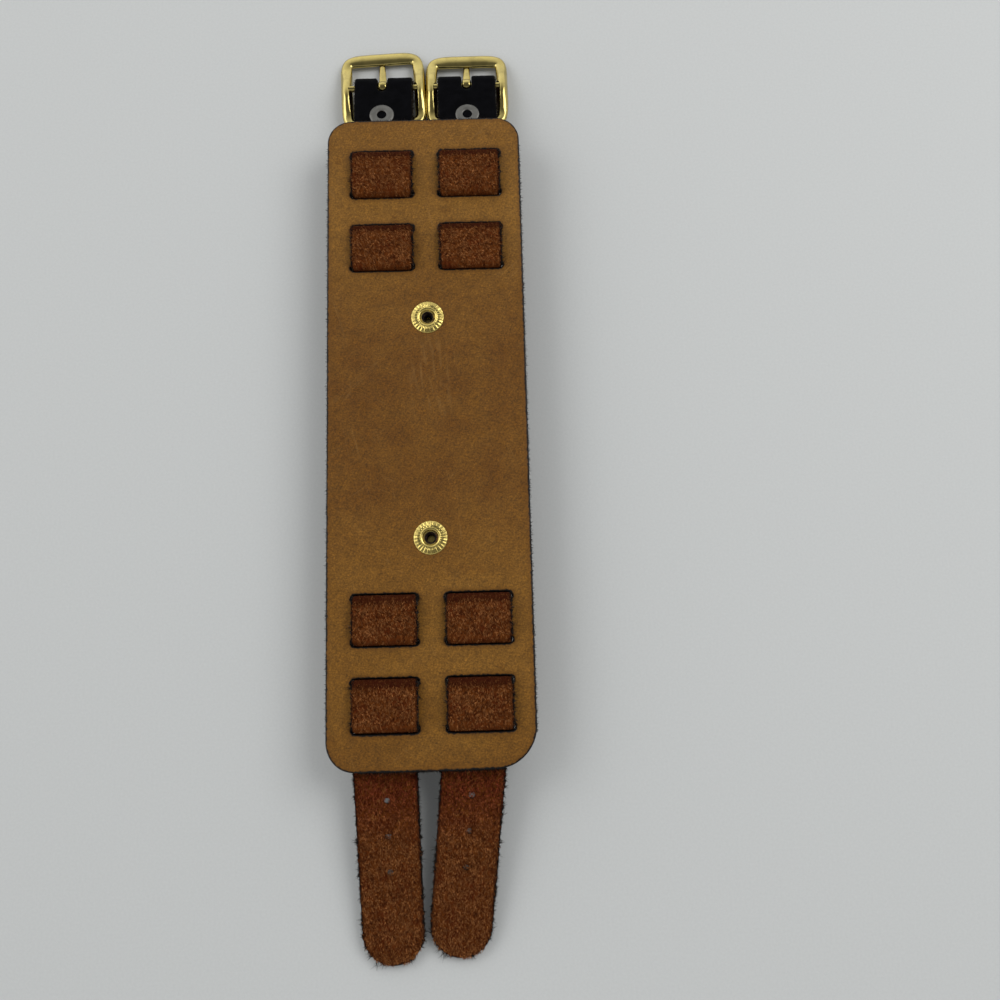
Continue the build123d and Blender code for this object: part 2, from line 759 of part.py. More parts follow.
barrel_orbit = gear_module * (barrel_teeth + cannon_teeth) / 2
barrel_z = plate_z + plate_thickness + bridge_gap
bridge_z = barrel_z + barrel_height + bridge_gap
with BuildPart() as cannon_pinion:
    with BuildSketch(Plane.XY.offset(cannon_z)):
        gear_outline(cannon_teeth, 90)
    extrude(amount=motion_wheel_thickness)
    with BuildSketch(Plane.XY.offset(minute_hand_z)):
        Circle(cannon_pipe_radius)
    extrude(amount=cannon_z - minute_hand_z)
    with BuildSketch(Plane.XY.offset(cannon_z)):
        Circle(cannon_pipe_radius)
    extrude(amount=barrel_z - cannon_z)
    # Centre pinion on the same arbor, driven by the barrel
    with BuildSketch(Plane.XY.offset(barrel_z)):
        gear_outline(cannon_teeth, 0)
    extrude(amount=barrel_height)
keep(cannon_pinion.part, "centre_arbor")

with BuildPart() as minute_hand:
    with BuildSketch(Plane.XY.offset(minute_hand_z)):
        hand_outline(minute_hand_length, cannon_pipe_radius, cannon_pipe_radius)
    extrude(amount=hand_thickness)
    turned_minute = minute_hand.part.rotate(Axis.Z, minute_hand_angle)
keep(turned_minute, "minute_hand")

# Minute wheel: its large wheel meets the cannon pinion, its small pinion the hour wheel
with BuildPart() as minute_wheel:
    with BuildSketch(Plane.XY.offset(cannon_z)):
        with Locations((0, motion_centre)):
            gear_outline(minute_wheel_teeth, -90 + 180 / minute_wheel_teeth)
    extrude(amount=motion_wheel_thickness)
    with BuildSketch(Plane.XY.offset(hour_wheel_z)):
        with Locations((0, motion_centre)):
            gear_outline(minute_pinion_teeth, -90 + 180 / minute_pinion_teeth)
    extrude(amount=motion_wheel_thickness + part_gap)
    with BuildSketch(Plane.XY.offset(hour_wheel_z)):
        with Locations((0, motion_centre)):
            Circle(arbor_radius, mode=Mode.ADD)
    extrude(amount=plate_thickness, mode=Mode.SUBTRACT)
keep(minute_wheel.part, "minute_wheel")

# Main plate with a pocket for the motion work and a bore for the stem
wheel_clear = gear_module * (hour_wheel_teeth / 2 + 2)
with BuildPart() as main_plate:
    with BuildSketch(Plane.XY.offset(plate_z)):
        Circle(plate_radius)
    extrude(amount=plate_thickness)
    with BuildSketch(Plane.XY.offset(plate_z)):
        Circle(wheel_clear)
        with Locations((0, motion_centre)):
            Circle(wheel_clear)
            Circle(arbor_radius - running_gap, mode=Mode.SUBTRACT)
    extrude(amount=plate_pocket_depth, mode=Mode.SUBTRACT)
    with BuildSketch(Plane.XY.offset(plate_z)):
        Circle(cannon_pipe_radius + running_gap)
    extrude(amount=plate_thickness, mode=Mode.SUBTRACT)
    with BuildSketch(Plane.YZ.offset(-plate_radius)):
        with Locations((0, stem_z)):
            Circle(stem_radius + running_gap)
    extrude(amount=stem_length, mode=Mode.SUBTRACT)
keep(main_plate.part, "main_plate")

# Mainspring barrel, in mesh with the centre pinion
with BuildPart() as barrel:
    with BuildSketch(Plane.XY.offset(barrel_z)):
        with Locations((0, -barrel_orbit)):
            gear_outline(barrel_teeth, 90)
            Circle(barrel_hub_radius + running_gap, mode=Mode.SUBTRACT)
    extrude(amount=barrel_height)
keep(barrel.part, "mainspring_barrel")

# Train bridge over the barrel, with the barrel's arbor and pillars down to the plate
with BuildPart() as bridge:
    with BuildSketch(Plane.XY.offset(bridge_z)):
        Circle(plate_radius - part_gap)
        with Locations((0, plate_radius)):
            Rectangle(2 * plate_radius, 2 * plate_radius - 2 * bridge_reach, mode=Mode.SUBTRACT)
    extrude(amount=bridge_thickness)
    with BuildSketch(Plane.XY.offset(plate_z + plate_thickness)):
        with Locations((0, -barrel_orbit)):
            Circle(barrel_hub_radius)
        pillar_orbit = plate_radius - 2 * pillar_radius
        pillar_x = pillar_orbit * pillar_place_share
        with Locations((-pillar_x, -pillar_drop), (pillar_x, -pillar_drop)):
            Circle(pillar_radius)
    extrude(amount=bridge_z - plate_z - plate_thickness)
keep(bridge.part, "train_bridge")

# Balance wheel and the cock that carries its upper pivot
balance_turn = math.radians(balance_angle)
balance_x = balance_orbit * math.cos(balance_turn)
balance_y = balance_orbit * math.sin(balance_turn)
with BuildPart() as balance:
    with BuildSketch(Plane.XY.offset(barrel_z + balance_thickness)):
        with Locations((balance_x, balance_y)):
            Circle(balance_radius)
            Circle(balance_radius - balance_rim, mode=Mode.SUBTRACT)
            Rectangle(2 * balance_radius - balance_rim, balance_rim)
            Circle(balance_rim)
    extrude(amount=balance_thickness)
    with BuildSketch(Plane.XY.offset(barrel_z)):
        with Locations((balance_x, balance_y)):
            Circle(balance_thickness)
    extrude(amount=barrel_height)
keep(balance.part, "balance_wheel")

foot_orbit = plate_radius - cock_rim_gap - cock_foot_length / 2
foot_centre = (foot_orbit * math.cos(balance_turn), foot_orbit * math.sin(balance_turn))
foot_place = Location(foot_centre, balance_angle)
arm_length = foot_orbit + cock_foot_length / 2 - balance_orbit
arm_orbit = balance_orbit + arm_length / 2
arm_centre = (arm_orbit * math.cos(balance_turn), arm_orbit * math.sin(balance_turn))
arm_place = Location(arm_centre, balance_angle)
with BuildPart() as cock:
    with BuildSketch(Plane.XY.offset(bridge_z)):
        with Locations(arm_place):
            Rectangle(arm_length, cock_width)
        with Locations((balance_x, balance_y)):
            Circle(cock_width / 2)
    extrude(amount=bridge_thickness)
    with BuildSketch(Plane.XY.offset(plate_z + plate_thickness)):
        with Locations(foot_place):
            Rectangle(cock_foot_length, cock_width)
    extrude(amount=bridge_z - plate_z - plate_thickness)
keep(cock.part, "balance_cock")

# Case back and its gasket
with BuildPart() as case_back:
    with BuildSketch(Plane.XY.offset(case_back_z + part_gap / 2)):
        Circle(back_lip_radius)
    extrude(amount=watch_thickness - case_back_z - part_gap / 2)
    fillet(case_back.edges().group_by(Axis.Z)[-1], back_edge_round)
    with BuildSketch(Plane.XY.offset(case_back_z + part_gap / 2)):
        Circle(back_recess_radius - part_gap)
    extrude(amount=-back_plug_depth)
keep(case_back.part, "case_back")

with BuildPart() as back_gasket:
    with BuildSketch(Plane.XY.offset(case_ledge_z)):
        Circle(back_recess_radius - part_gap)
        Circle(back_recess_radius - part_gap - back_gasket_width, mode=Mode.SUBTRACT)
    extrude(amount=case_back_z + part_gap / 2 - back_plug_depth - case_ledge_z)
keep(back_gasket.part, "case_back_gasket")

# Crown and winding stem at three o'clock
crown_inner_x = -case_radius - crown_gap
with BuildPart() as stem:
    with BuildSketch(Plane.YZ.offset(crown_inner_x - crown_bore_depth)):
        with Locations((0, stem_z)):
            Circle(stem_radius)
    extrude(amount=crown_bore_depth + stem_length)
keep(stem.part, "winding_stem")

with BuildPart() as crown:
    with BuildSketch(Plane.YZ.offset(crown_inner_x)):
        with Locations((0, stem_z)):
            Circle(crown_radius)
            with PolarLocations(crown_radius, crown_flutes):
                Circle(flute_radius, mode=Mode.SUBTRACT)
            Circle(crown_bore_radius, mode=Mode.SUBTRACT)
    extrude(amount=-crown_length)
    with BuildSketch(Plane.YZ.offset(crown_inner_x - crown_bore_depth)):
        with Locations((0, stem_z)):
            Circle(crown_bore_radius)
    extrude(amount=crown_bore_depth - crown_length)
keep(crown.part, "crown")
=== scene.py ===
import json
import math

import bmesh
import bpy
import numpy as np
from mathutils import Matrix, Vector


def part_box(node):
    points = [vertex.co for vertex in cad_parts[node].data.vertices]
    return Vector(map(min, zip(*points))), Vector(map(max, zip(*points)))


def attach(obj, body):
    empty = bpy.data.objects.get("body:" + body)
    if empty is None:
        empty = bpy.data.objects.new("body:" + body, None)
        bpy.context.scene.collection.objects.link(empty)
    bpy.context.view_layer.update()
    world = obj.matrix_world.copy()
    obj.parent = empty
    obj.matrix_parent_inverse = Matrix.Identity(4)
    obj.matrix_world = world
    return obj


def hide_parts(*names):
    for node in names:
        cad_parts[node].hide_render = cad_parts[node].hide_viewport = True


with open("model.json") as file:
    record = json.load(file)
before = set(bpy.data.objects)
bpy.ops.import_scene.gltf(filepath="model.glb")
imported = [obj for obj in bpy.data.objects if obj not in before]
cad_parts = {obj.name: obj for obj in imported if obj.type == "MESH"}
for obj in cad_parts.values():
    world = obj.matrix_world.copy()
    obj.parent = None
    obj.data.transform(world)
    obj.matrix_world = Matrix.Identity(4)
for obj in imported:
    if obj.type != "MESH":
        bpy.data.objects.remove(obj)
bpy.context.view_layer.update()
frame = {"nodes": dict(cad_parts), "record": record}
nodes = frame["nodes"]
pivots = {
    joint["name"]: np.array(joint["pos_m"]) * 1000
    for joint in frame["record"]["behaviour"]["joints"]
    if "pos_m" in joint
}
draw = np.random.default_rng(11)  # one seeded source for every random draw
print("frame loaded:", len(nodes), "nodes")


class Spec(dict):
    # A dictionary whose values are also read by name, as in spec.width
    __getattr__ = dict.__getitem__


def boxOf(name):
    # Lowest and highest corners of a node in millimetres
    low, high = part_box(name)
    return np.array(low) * 1000, np.array(high) * 1000


def meshPiece(name, points, faces, materials, faceSlots=None, marks={}, merge=False):
    # Points are in millimetres, and those that no face uses are left out. The marks are numbers
    # kept at each point, and the one called flat becomes the piece's UV map. Materials are finishes' names.
    used, corners = np.unique(faces, return_inverse=True)
    corners = corners.reshape(faces.shape).astype(np.int32)
    count, sides = corners.shape
    mesh = bpy.data.meshes.new(name)
    mesh.vertices.add(len(used))
    mesh.vertices.foreach_set("co", (points[used] * 0.001).astype(np.float32).ravel())
    mesh.loops.add(count * sides)
    mesh.loops.foreach_set("vertex_index", corners.ravel())
    mesh.polygons.add(count)
    mesh.polygons.foreach_set("loop_start", np.arange(0, count * sides, sides, dtype=np.int32))
    if faceSlots is not None:
        mesh.polygons.foreach_set("material_index", faceSlots.astype(np.int32))
    for mark, values in marks.items():
        values = values[used].astype(np.float32)
        if mark == "flat":
            mesh.uv_layers.new(name=mark).uv.foreach_set("vector", values[corners.ravel()].ravel())
        else:
            mesh.attributes.new(mark, "FLOAT", "POINT").data.foreach_set("value", values)
    mesh.update(calc_edges=True)
    for material in materials:
        mesh.materials.append(finishes[material])
    if merge:
        work = bmesh.new()
        work.from_mesh(mesh)
        bmesh.ops.remove_doubles(work, verts=work.verts, dist=1e-6)
        bmesh.ops.recalc_face_normals(work, faces=work.faces)
        work.to_mesh(mesh)
        work.free()
    mesh.shade_smooth()
    piece = bpy.data.objects.new(name, mesh)
    bpy.context.collection.objects.link(piece)
    return piece


def ridePiece(piece, body, slot, *replaced):
    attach(piece, body)
    if replaced:
        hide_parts(*replaced)
    return piece


def gridLines(marks, spacing, near=()):
    # Line positions that hold every mark, the steps beside the marks given in near, and even filling
    marks = set(marks)
    for mark, steps in near:
        marks |= {round(mark + step, 5) for step in steps}
    marks = sorted(marks)
    lines = [marks[0]]
    for low, high in zip(marks[:-1], marks[1:]):
        lines += list(np.linspace(low, high, max(1, round((high - low) / spacing)) + 1)[1:])
    return np.array(lines)


def slab(name, x, s, keep, place, gap, thickness, edgeRound, materials, relief=(0, 0), extra={}):
    # Two sheets half a thickness either side of the middle one. Near an edge they close by a quarter
    # circle of the distance to it, and a wall stands wherever a kept cell meets a gap.
    inner = np.clip(edgeRound - gap, 0, edgeRound)
    half = thickness / 2 - edgeRound + np.sqrt(edgeRound**2 - inner**2)
    fade = np.clip(gap / (2 * edgeRound), 0, 1)
    points = np.concatenate([
        place(x, s, half + relief[0] * fade).reshape(-1, 3),
        place(x, s, -half - relief[1] * fade).reshape(-1, 3),
    ])
    number = np.arange(x.size).reshape(x.shape)
    corners = (number[:-1, :-1], number[1:, :-1], number[1:, 1:], number[:-1, 1:])
    a, b, c, d = (corner[keep] for corner in corners)
    top = np.stack([a, b, c, d], 1)
    bottom = np.stack([d, c, b, a], 1) + x.size
    padded = np.pad(keep, 1)
    walls = []
    for before, after, first, second, flip in (
        (padded[:-1, 1:-1], padded[1:, 1:-1], number[:, :-1], number[:, 1:], False),
        (padded[1:-1, :-1], padded[1:-1, 1:], number[:-1, :], number[1:, :], True),
    ):
        for edge, turned in ((after & ~before, flip), (before & ~after, not flip)):
            start, stop = first[edge], second[edge]
            if turned:
                start, stop = stop, start
            walls.append(np.stack([start, stop, stop + x.size, start + x.size], 1))
    walls = np.concatenate(walls)
    faces = np.concatenate([top, bottom, walls])
    slots = np.repeat([0, 1, 2], [len(top), len(bottom), len(walls)])
    marks = {"flat": np.tile(np.stack([x, s], -1).reshape(-1, 2), (2, 1)), "edgeGap": np.tile(gap.ravel(), 2)}
    marks.update({mark: np.tile(values.ravel(), 2) for mark, values in extra.items()})
    return meshPiece(name, points, faces, materials, slots, marks)


def gridFaces(rows, columns, wrapRows=False, wrapColumns=False):
    # Quads of a rows by columns grid of points, joined end to start where it wraps
    i = np.arange(rows if wrapRows else rows - 1)[:, None]
    j = np.arange(columns if wrapColumns else columns - 1)[None, :]
    nextI, nextJ = (i + 1) % rows, (j + 1) % columns
    corners = (i * columns + j, nextI * columns + j, nextI * columns + nextJ, i * columns + nextJ)
    return np.stack(np.broadcast_arrays(*corners), -1).reshape(-1, 4)


def turned(name, profile, place, materials, sides=96, ripple=None, throat=0):
    # A closed profile of (radius, height) turned about the upright axis of place; ripple adds to the
    # height at each angle, and what lies inside the throat's radius takes the second material, a dark
    # painted shade for the hollow
    radius, height = np.array(profile, float).T
    angle = circle(sides)[:, None]
    lift = height + (0 * angle if ripple is None else ripple(radius[None, :], angle))
    points = place(radius * np.cos(angle), radius * np.sin(angle), lift)
    faces = gridFaces(sides, len(radius), wrapRows=True)
    slots = np.tile((radius[1:] + radius[:-1]) / 2 < throat, sides)
    return meshPiece(name, points.reshape(-1, 3), faces, materials, slots, merge=True)


def tube(name, points, material):
    # A grid of points whose rows are closed loops, capped by drawing each end loop into its middle
    ends = [points[index].mean(0, keepdims=True).repeat(points.shape[1], 0)[None] for index in (0, -1)]
    points = np.concatenate([ends[0], points, ends[1]])
    faces = gridFaces(*points.shape[:2], wrapColumns=True)
    return meshPiece(name, points.reshape(-1, 3), faces, [material], merge=True)


def roundedPath(corners, radii, spacing):
    # Straight runs joined by arcs; an arc starts radius x tan(half the turn) before its corner
    corners = np.asarray(corners, float)
    trail = [corners[:1]]
    for before, corner, after, radius in zip(corners[:-2], corners[1:-1], corners[2:], radii):
        inLength, outLength = np.linalg.norm(corner - before), np.linalg.norm(after - corner)
        inward, outward = (corner - before) / inLength, (after - corner) / outLength
        turn = math.atan2(inward[0] * outward[1] - inward[1] * outward[0], inward @ outward)
        reach = min(radius * math.tan(abs(turn) / 2), 0.5 * inLength, 0.5 * outLength)
        radius = reach / max(math.tan(abs(turn) / 2), 1e-6)
        start = corner - inward * reach
        arm = np.array([inward[1], -inward[0]]) * math.copysign(radius, turn)
        angles = np.linspace(0, turn, int(abs(turn) * radius / spacing) + 2)[:, None]
        across = np.array([-arm[1], arm[0]])
        trail.append(start - arm + arm * np.cos(angles) + across * np.sin(angles))
    trail.append(corners[-1:])
    trail = np.concatenate(trail)
    steps = np.linalg.norm(np.diff(trail, axis=0), axis=1)
    trail = trail[np.concatenate([[True], steps > 1e-7])]
    run = np.concatenate([[0], np.cumsum(np.linalg.norm(np.diff(trail, axis=0), axis=1))])
    even = np.linspace(0, run[-1], int(run[-1] / spacing) + 2)
    return np.stack([np.interp(even, run, trail[:, 0]), np.interp(even, run, trail[:, 1])], 1)


def softCorners(corners, rounding, spacing):
    return roundedPath(corners, [rounding] * (len(corners) - 2), spacing)


def circle(count):
    return np.linspace(0, 2 * math.pi, count, endpoint=False)


def alongPath(path):
    # Place and upright direction at each distance along a path in Y and Z
    run = np.concatenate([[0], np.cumsum(np.linalg.norm(np.diff(path, axis=0), axis=1))])
    tangent = np.gradient(path, axis=0)
    tangent /= np.linalg.norm(tangent, axis=1, keepdims=True)
    columns = np.stack([path[:, 0], path[:, 1], -tangent[:, 1], tangent[:, 0]], 1)
    return run, lambda s: [np.interp(s, run, column) for column in columns.T]


def ease(value):
    value = np.clip(value, 0, 1)
    return value**2 * (3 - 2 * value)


def soft(value, power):
    # Flattens a sine or cosine towards a square when the power is below 1
    return np.sign(value) * np.abs(value)**power


def smoothNoise(x, s, size, seed):
    # Sum of sine waves in seeded directions, about -1 to 1, with waves near the size given
    source = np.random.default_rng(seed)
    total = np.zeros_like(x)
    for _ in range(7):
        heading, phase = source.uniform(0, 2 * math.pi, 2)
        scale = 2 * math.pi / (size * source.uniform(0.6, 1.6))
        total += np.sin((x * math.cos(heading) + s * math.sin(heading)) * scale + phase)
    return total / 4


def fibres(name, roots, headings, lengths, radius, curl, material, shades, spindle=False):
    # Three-sided hairs, bent by the curl, each of one shade: a ring or, on a spindle, a point at the
    # root, then a ring half way and a tip
    count = len(roots)
    headings = headings / np.linalg.norm(headings, axis=1, keepdims=True)
    side = np.cross(headings, draw.normal(size=(count, 3)))
    side /= np.linalg.norm(side, axis=1, keepdims=True)
    other = np.cross(headings, side)
    angle = np.array([0, 2.094, 4.189])[:, None]
    spokes = (side[:, None] * np.cos(angle) + other[:, None] * np.sin(angle)) * radius
    reach = lengths[:, None]
    half = roots + (headings * 0.5 + curl * 0.15) * reach
    tip = roots + (headings + curl * 0.6) * reach
    if spindle:
        points = np.concatenate([roots[:, None], half[:, None] + spokes, tip[:, None]], 1)
        pattern = [(0, 2, 1), (0, 3, 2), (0, 1, 3), (1, 2, 4), (2, 3, 4), (3, 1, 4)]
    else:
        points = np.concatenate([roots[:, None] + spokes, half[:, None] + spokes * 0.8, tip[:, None]], 1)
        pattern = [
            (0, 1, 4), (0, 4, 3), (1, 2, 5), (1, 5, 4), (2, 0, 3), (2, 3, 5), (3, 4, 6), (4, 5, 6), (5, 3, 6)]
    each = points.shape[1]
    faces = (np.arange(count)[:, None, None] * each + np.array(pattern)).reshape(-1, 3)
    return meshPiece(name, points.reshape(-1, 3), faces, [material], marks={"shade": np.repeat(shades, each)})


def newMaterial(name, colour, roughness, metallic=0.0, specular=0.5, **others):
    material = bpy.data.materials.new(name)
    material.use_nodes = True
    material.diffuse_color = (*colour, 1)
    others.update({"Roughness": roughness, "Metallic": metallic, "Specular IOR Level": specular})
    for key, value in {"Base Color": (*colour, 1), **others}.items():
        material.node_tree.nodes["Principled BSDF"].inputs[key].default_value = value
    return material, material.node_tree


def finished(material, **fields):
    # Links each field to the shader's input of its kind
    inputs = material.node_tree.nodes["Principled BSDF"].inputs
    for kind, field in fields.items():
        material.node_tree.links.new(field, inputs["Base Color" if kind == "colour" else kind.capitalize()])
    return material


def addNode(tree, kind, inputs, **settings):
    # inputs maps an input's name to a number, a colour or another node's output
    node = tree.nodes.new(kind)
    for key, value in settings.items():
        setattr(node, key, value)
    for key, value in inputs.items():
        if isinstance(value, bpy.types.NodeSocket):
            tree.links.new(value, node.inputs[key])
        else:
            node.inputs[key].default_value = value
    return node


def maths(tree, operation, *values):
    return addNode(tree, "ShaderNodeMath", dict(enumerate(values)), operation=operation).outputs[0]


def vectorMaths(tree, operation, *values):
    return addNode(tree, "ShaderNodeVectorMath", dict(enumerate(values)), operation=operation).outputs


def objectPlace(tree):
    # The piece's own coordinates in metres, from one node in each tree
    node = tree.nodes.get("Texture Coordinate") or tree.nodes.new("ShaderNodeTexCoord")
    return node.outputs["Object"]


def splitAxes(tree, vector):
    return addNode(tree, "ShaderNodeSeparateXYZ", {"Vector": vector}).outputs


def noise(tree, scale, detail=3.0, roughness=0.55, stretch=None, turn=0.0, vector=None):
    # The stretch is how many times finer the pattern runs across and along a direction turned in plan
    if vector is None:
        vector = objectPlace(tree)
    if stretch is not None:
        vector = addNode(tree, "ShaderNodeMapping", {
            "Vector": vector, "Scale": (1 / stretch[0], 1 / stretch[1], 1), "Rotation": (0, 0, turn),
        }, vector_type="TEXTURE").outputs[0]
    return addNode(tree, "ShaderNodeTexNoise", {
        "Vector": vector, "Scale": scale, "Detail": detail, "Roughness": roughness}).outputs["Fac"]


def ramp(tree, factor, stops):
    node = addNode(tree, "ShaderNodeValToRGB", {"Fac": factor})
    elements = node.color_ramp.elements
    while len(elements) < len(stops):
        elements.new(0.5)
    for element, (place, value) in zip(elements, stops):
        element.position = place
        element.color = (*value, 1) if isinstance(value, tuple) else (value, value, value, 1)
    return node.outputs[0]


def spread(tree, factor, fromLow, fromHigh, toLow, toHigh):
    return addNode(tree, "ShaderNodeMapRange", {
        "Value": factor, "From Min": fromLow, "From Max": fromHigh, "To Min": toLow, "To Max": toHigh,
    }).outputs[0]


def mottle(tree, scale, low, high, detail=3, roughness=0.55):
    # Runs softly between two values in patches
    return spread(tree, noise(tree, scale, detail, roughness), 0.3, 0.7, low, high)


def mix(tree, factor, first, second, kind="MIX"):
    node = addNode(tree, "ShaderNodeMix", {}, data_type="RGBA", blend_type=kind)
    for index, value in ((0, factor), (6, first), (7, second)):
        if isinstance(value, bpy.types.NodeSocket):
            tree.links.new(value, node.inputs[index])
        else:
            node.inputs[index].default_value = (*value, 1) if isinstance(value, tuple) else value
    return node.outputs[2]


def bump(tree, height, strength, distance, under=None):
    inputs = {"Height": height, "Strength": strength, "Distance": distance * 0.001}
    if under is not None:
        inputs["Normal"] = under
    return addNode(tree, "ShaderNodeBump", inputs).outputs[0]


def pointMark(tree, name):
    return addNode(tree, "ShaderNodeAttribute", {}, attribute_name=name).outputs["Fac"]


tanLook = Spec(
    light=(0.232, 0.107, 0.0145), middle=(0.198, 0.087, 0.0095), worn=(0.125, 0.047, 0.003),
    stain=(0.11, 0.04, 0.003), scratch=(0.29, 0.15, 0.04), edge=(0.004, 0.0035, 0.003),
    # How dark it runs along the cuff, from the low end to the top end
    wornReach=0.085, wornStops=[
        (0.0, 0.75), (0.06, 0.5), (0.14, 0.34), (0.27, 0.42), (0.4, 0.94), (0.6, 1.0), (0.74, 0.6),
        (0.84, 0.12), (1.0, 0.42)],
    # Scale, detail, stretch, turn and amount of each grain
    grains=[
        (420, 4, (1, 1), 0, 0.15), (2000, 3, (1, 1), 0, 0.42), (3600, 3, (1, 1), 0, 0.35),
        (900, 4, (3.6, 0.7), 1.35, 0.2), (800, 4, (3.2, 0.6), -0.5, 0.2)],
    # Scale, stretch, turn, width and strength of each set of scratches
    scratches=[
        (34, (9, 0.35), -0.85, 0.006, 0.24), (30, (11, 0.3), 0.25, 0.005, 0.3),
        (70, (5, 0.4), 1.1, 0.006, 0.25)],
    scuffCentre=(0.001, 0.013, 0), scuffScale=(1.0, 0.55, 0),
)


def tanLeather(name, look):
    # Golden towards the ends and darker and browner towards the middle, with fine pores and streaks,
    # scratches and scuffs round the upper snap, a few smudges, a darker band along the cuts that is
    # partly painted shade, and a dyed black rim
    material, tree = newMaterial(name, look.middle, 0.6, specular=0.22)
    broad = spread(tree, noise(tree, 60, 4), 0.35, 0.65, 0, 1)
    colour = mix(tree, broad, look.middle, look.light)
    # A broad darkening, deepest towards the middle of the cuff and broken up in patches
    level = spread(tree, splitAxes(tree, objectPlace(tree))["Y"], -look.wornReach, look.wornReach, 0, 1)
    worn = ramp(tree, level, look.wornStops)
    patches = mottle(tree, 110, 0.6, 1.15, 5, 0.62)
    colour = mix(tree, maths(tree, "MULTIPLY", worn, patches), colour, look.worn)
    stains = ramp(tree, noise(tree, 150, 3, 0.6), [(0.62, 0.0), (0.74, 0.55)])
    colour = mix(tree, stains, colour, look.stain)
    for scale, detail, stretch, turn, amount in look.grains:
        fine = noise(tree, scale, detail, 0.6, stretch, turn)
        colour = mix(tree, 1.0, colour, spread(tree, fine, 0.25, 0.75, 1 - amount, 1 + amount), "MULTIPLY")
    # Scratches: the ridge line of a noise drawn out along one direction, kept in patches
    for scale, stretch, turn, width, most in look.scratches:
        ridge = maths(tree, "SUBTRACT", noise(tree, scale, 2, 0.5, stretch, turn), 0.5)
        line = spread(tree, maths(tree, "ABSOLUTE", ridge), 0, width, most, 0)
        where = ramp(tree, noise(tree, 55 + scale, 2), [(0.5, 0.0), (0.6, 1.0)])
        colour = mix(tree, maths(tree, "MULTIPLY", line, where), colour, look.scratch)
    # Scuffs: pale upright strokes in an oval patch of the middle
    away = vectorMaths(tree, "SUBTRACT", objectPlace(tree), look.scuffCentre)[0]
    away = vectorMaths(tree, "LENGTH", vectorMaths(tree, "MULTIPLY", away, look.scuffScale)[0])["Value"]
    strokes = ramp(tree, noise(tree, 240, 3, 0.6, (4.5, 0.5), 0.12), [(0.5, 0.0), (0.68, 0.4)])
    strokes = maths(tree, "MULTIPLY", strokes, spread(tree, away, 0.002, 0.008, 1, 0))
    colour = mix(tree, strokes, colour, look.scratch)
    gap = pointMark(tree, "edgeGap")
    ragged = maths(tree, "MULTIPLY_ADD", noise(tree, 1300, 3), 0.9, gap)
    # A soft darker band along every cut: a burnished edge along the outline and round the holes, and painted
    # shade beside the slots, where the strap stands proud of the cuff
    colour = mix(tree, spread(tree, ragged, 0.5, 1.9, 0.7, 0), colour, look.worn)
    colour = mix(tree, spread(tree, ragged, 0.72, 0.98, 1, 0), colour, look.edge)
    pores = bump(tree, noise(tree, 2100, 4, 0.65), 0.6, 0.07)
    creases = bump(tree, noise(tree, 260, 3, 0.6), 0.35, 0.12, pores)
    return finished(material, colour=colour, roughness=mottle(tree, 300, 0.5, 0.72), normal=creases)


suedeLook = Spec(
    # The last colour is painted shade for the strap where it dives into a slot
    deep=(0.024, 0.0045, 0.001), body=(0.135, 0.036, 0.006), tip=(0.36, 0.15, 0.05),
    red=(0.088, 0.0135, 0.003), dye=(0.006, 0.0048, 0.0042), tucked=(0.03, 0.0045, 0.0012),
)


def suede(name, look):
    # Short nap: crossing sets of slanted streaks, redder and deeper in patches, and darkened by painted shade
    # where the strap dives into the cuff's slots
    material, tree = newMaterial(name, look.body, 0.95, specular=0.06)
    flat = addNode(tree, "ShaderNodeUVMap", {}, uv_map="flat").outputs[0]
    first = noise(tree, 1.0, 3, 0.6, (1.9, 0.5), 0.75, flat)
    second = noise(tree, 1.0, 3, 0.6, (2.2, 0.6), -0.3, flat)
    fine = noise(tree, 1.0, 3, 0.7, (5.5, 1.8), 0.2, flat)
    streaks = maths(tree, "MULTIPLY_ADD", fine, 0.6, maths(tree, "ADD", first, second))
    height = spread(tree, streaks, 0.98, 1.62, 0, 1)
    colour = ramp(tree, height, [(0.05, look.deep), (0.42, look.body), (0.62, look.body), (0.98, look.tip)])
    patches = spread(tree, noise(tree, 0.2, 3, vector=flat), 0.42, 0.66, 0, 0.6)
    colour = mix(tree, patches, colour, look.red)
    # Painted shade where the strap dives into the slot at the top of each window
    colour = mix(tree, maths(tree, "MULTIPLY", pointMark(tree, "slotShade"), 0.85), colour, look.tucked)
    ragged = maths(tree, "MULTIPLY_ADD", second, 0.8, pointMark(tree, "dyeGap"))
    colour = mix(tree, spread(tree, ragged, 0.65, 1.1, 1, 0), colour, look.dye)
    return finished(material, colour=colour, normal=bump(tree, height, 1.0, 0.3))


def blackGrain(name, colour):
    # Smooth black leather with a fine pebble and faint creases
    material, tree = newMaterial(name, colour, 0.55, specular=0.02)
    pebbles = {"Vector": objectPlace(tree), "Scale": 1300.0}
    pebbles = addNode(tree, "ShaderNodeTexVoronoi", pebbles, feature="SMOOTH_F1").outputs["Distance"]
    toned = mix(tree, 1.0, colour, mottle(tree, 420, 0.55, 1.6, 4, 0.6), "MULTIPLY")
    creases = bump(tree, noise(tree, 240, 4, 0.6), 0.35, 0.1)
    pebble = bump(tree, pebbles, 0.35, 0.05, creases)
    return finished(material, colour=toned, roughness=mottle(tree, 220, 0.42, 0.62), normal=pebble)


def dyedEdge(name, dark, light):
    # Cut edges: dyed black, a little paler where the fibres are rubbed; the same dark finish also
    # serves as painted shade inside the rivet and snap bores
    material, tree = newMaterial(name, dark, 0.85, specular=0.15)
    rubbed = ramp(tree, noise(tree, 900, 4, 0.65), [(0.5, 0.0), (0.72, 1.0)])
    pitted = bump(tree, noise(tree, 1800, 3), 0.8, 0.12)
    return finished(material, colour=mix(tree, rubbed, dark, light), normal=pitted)


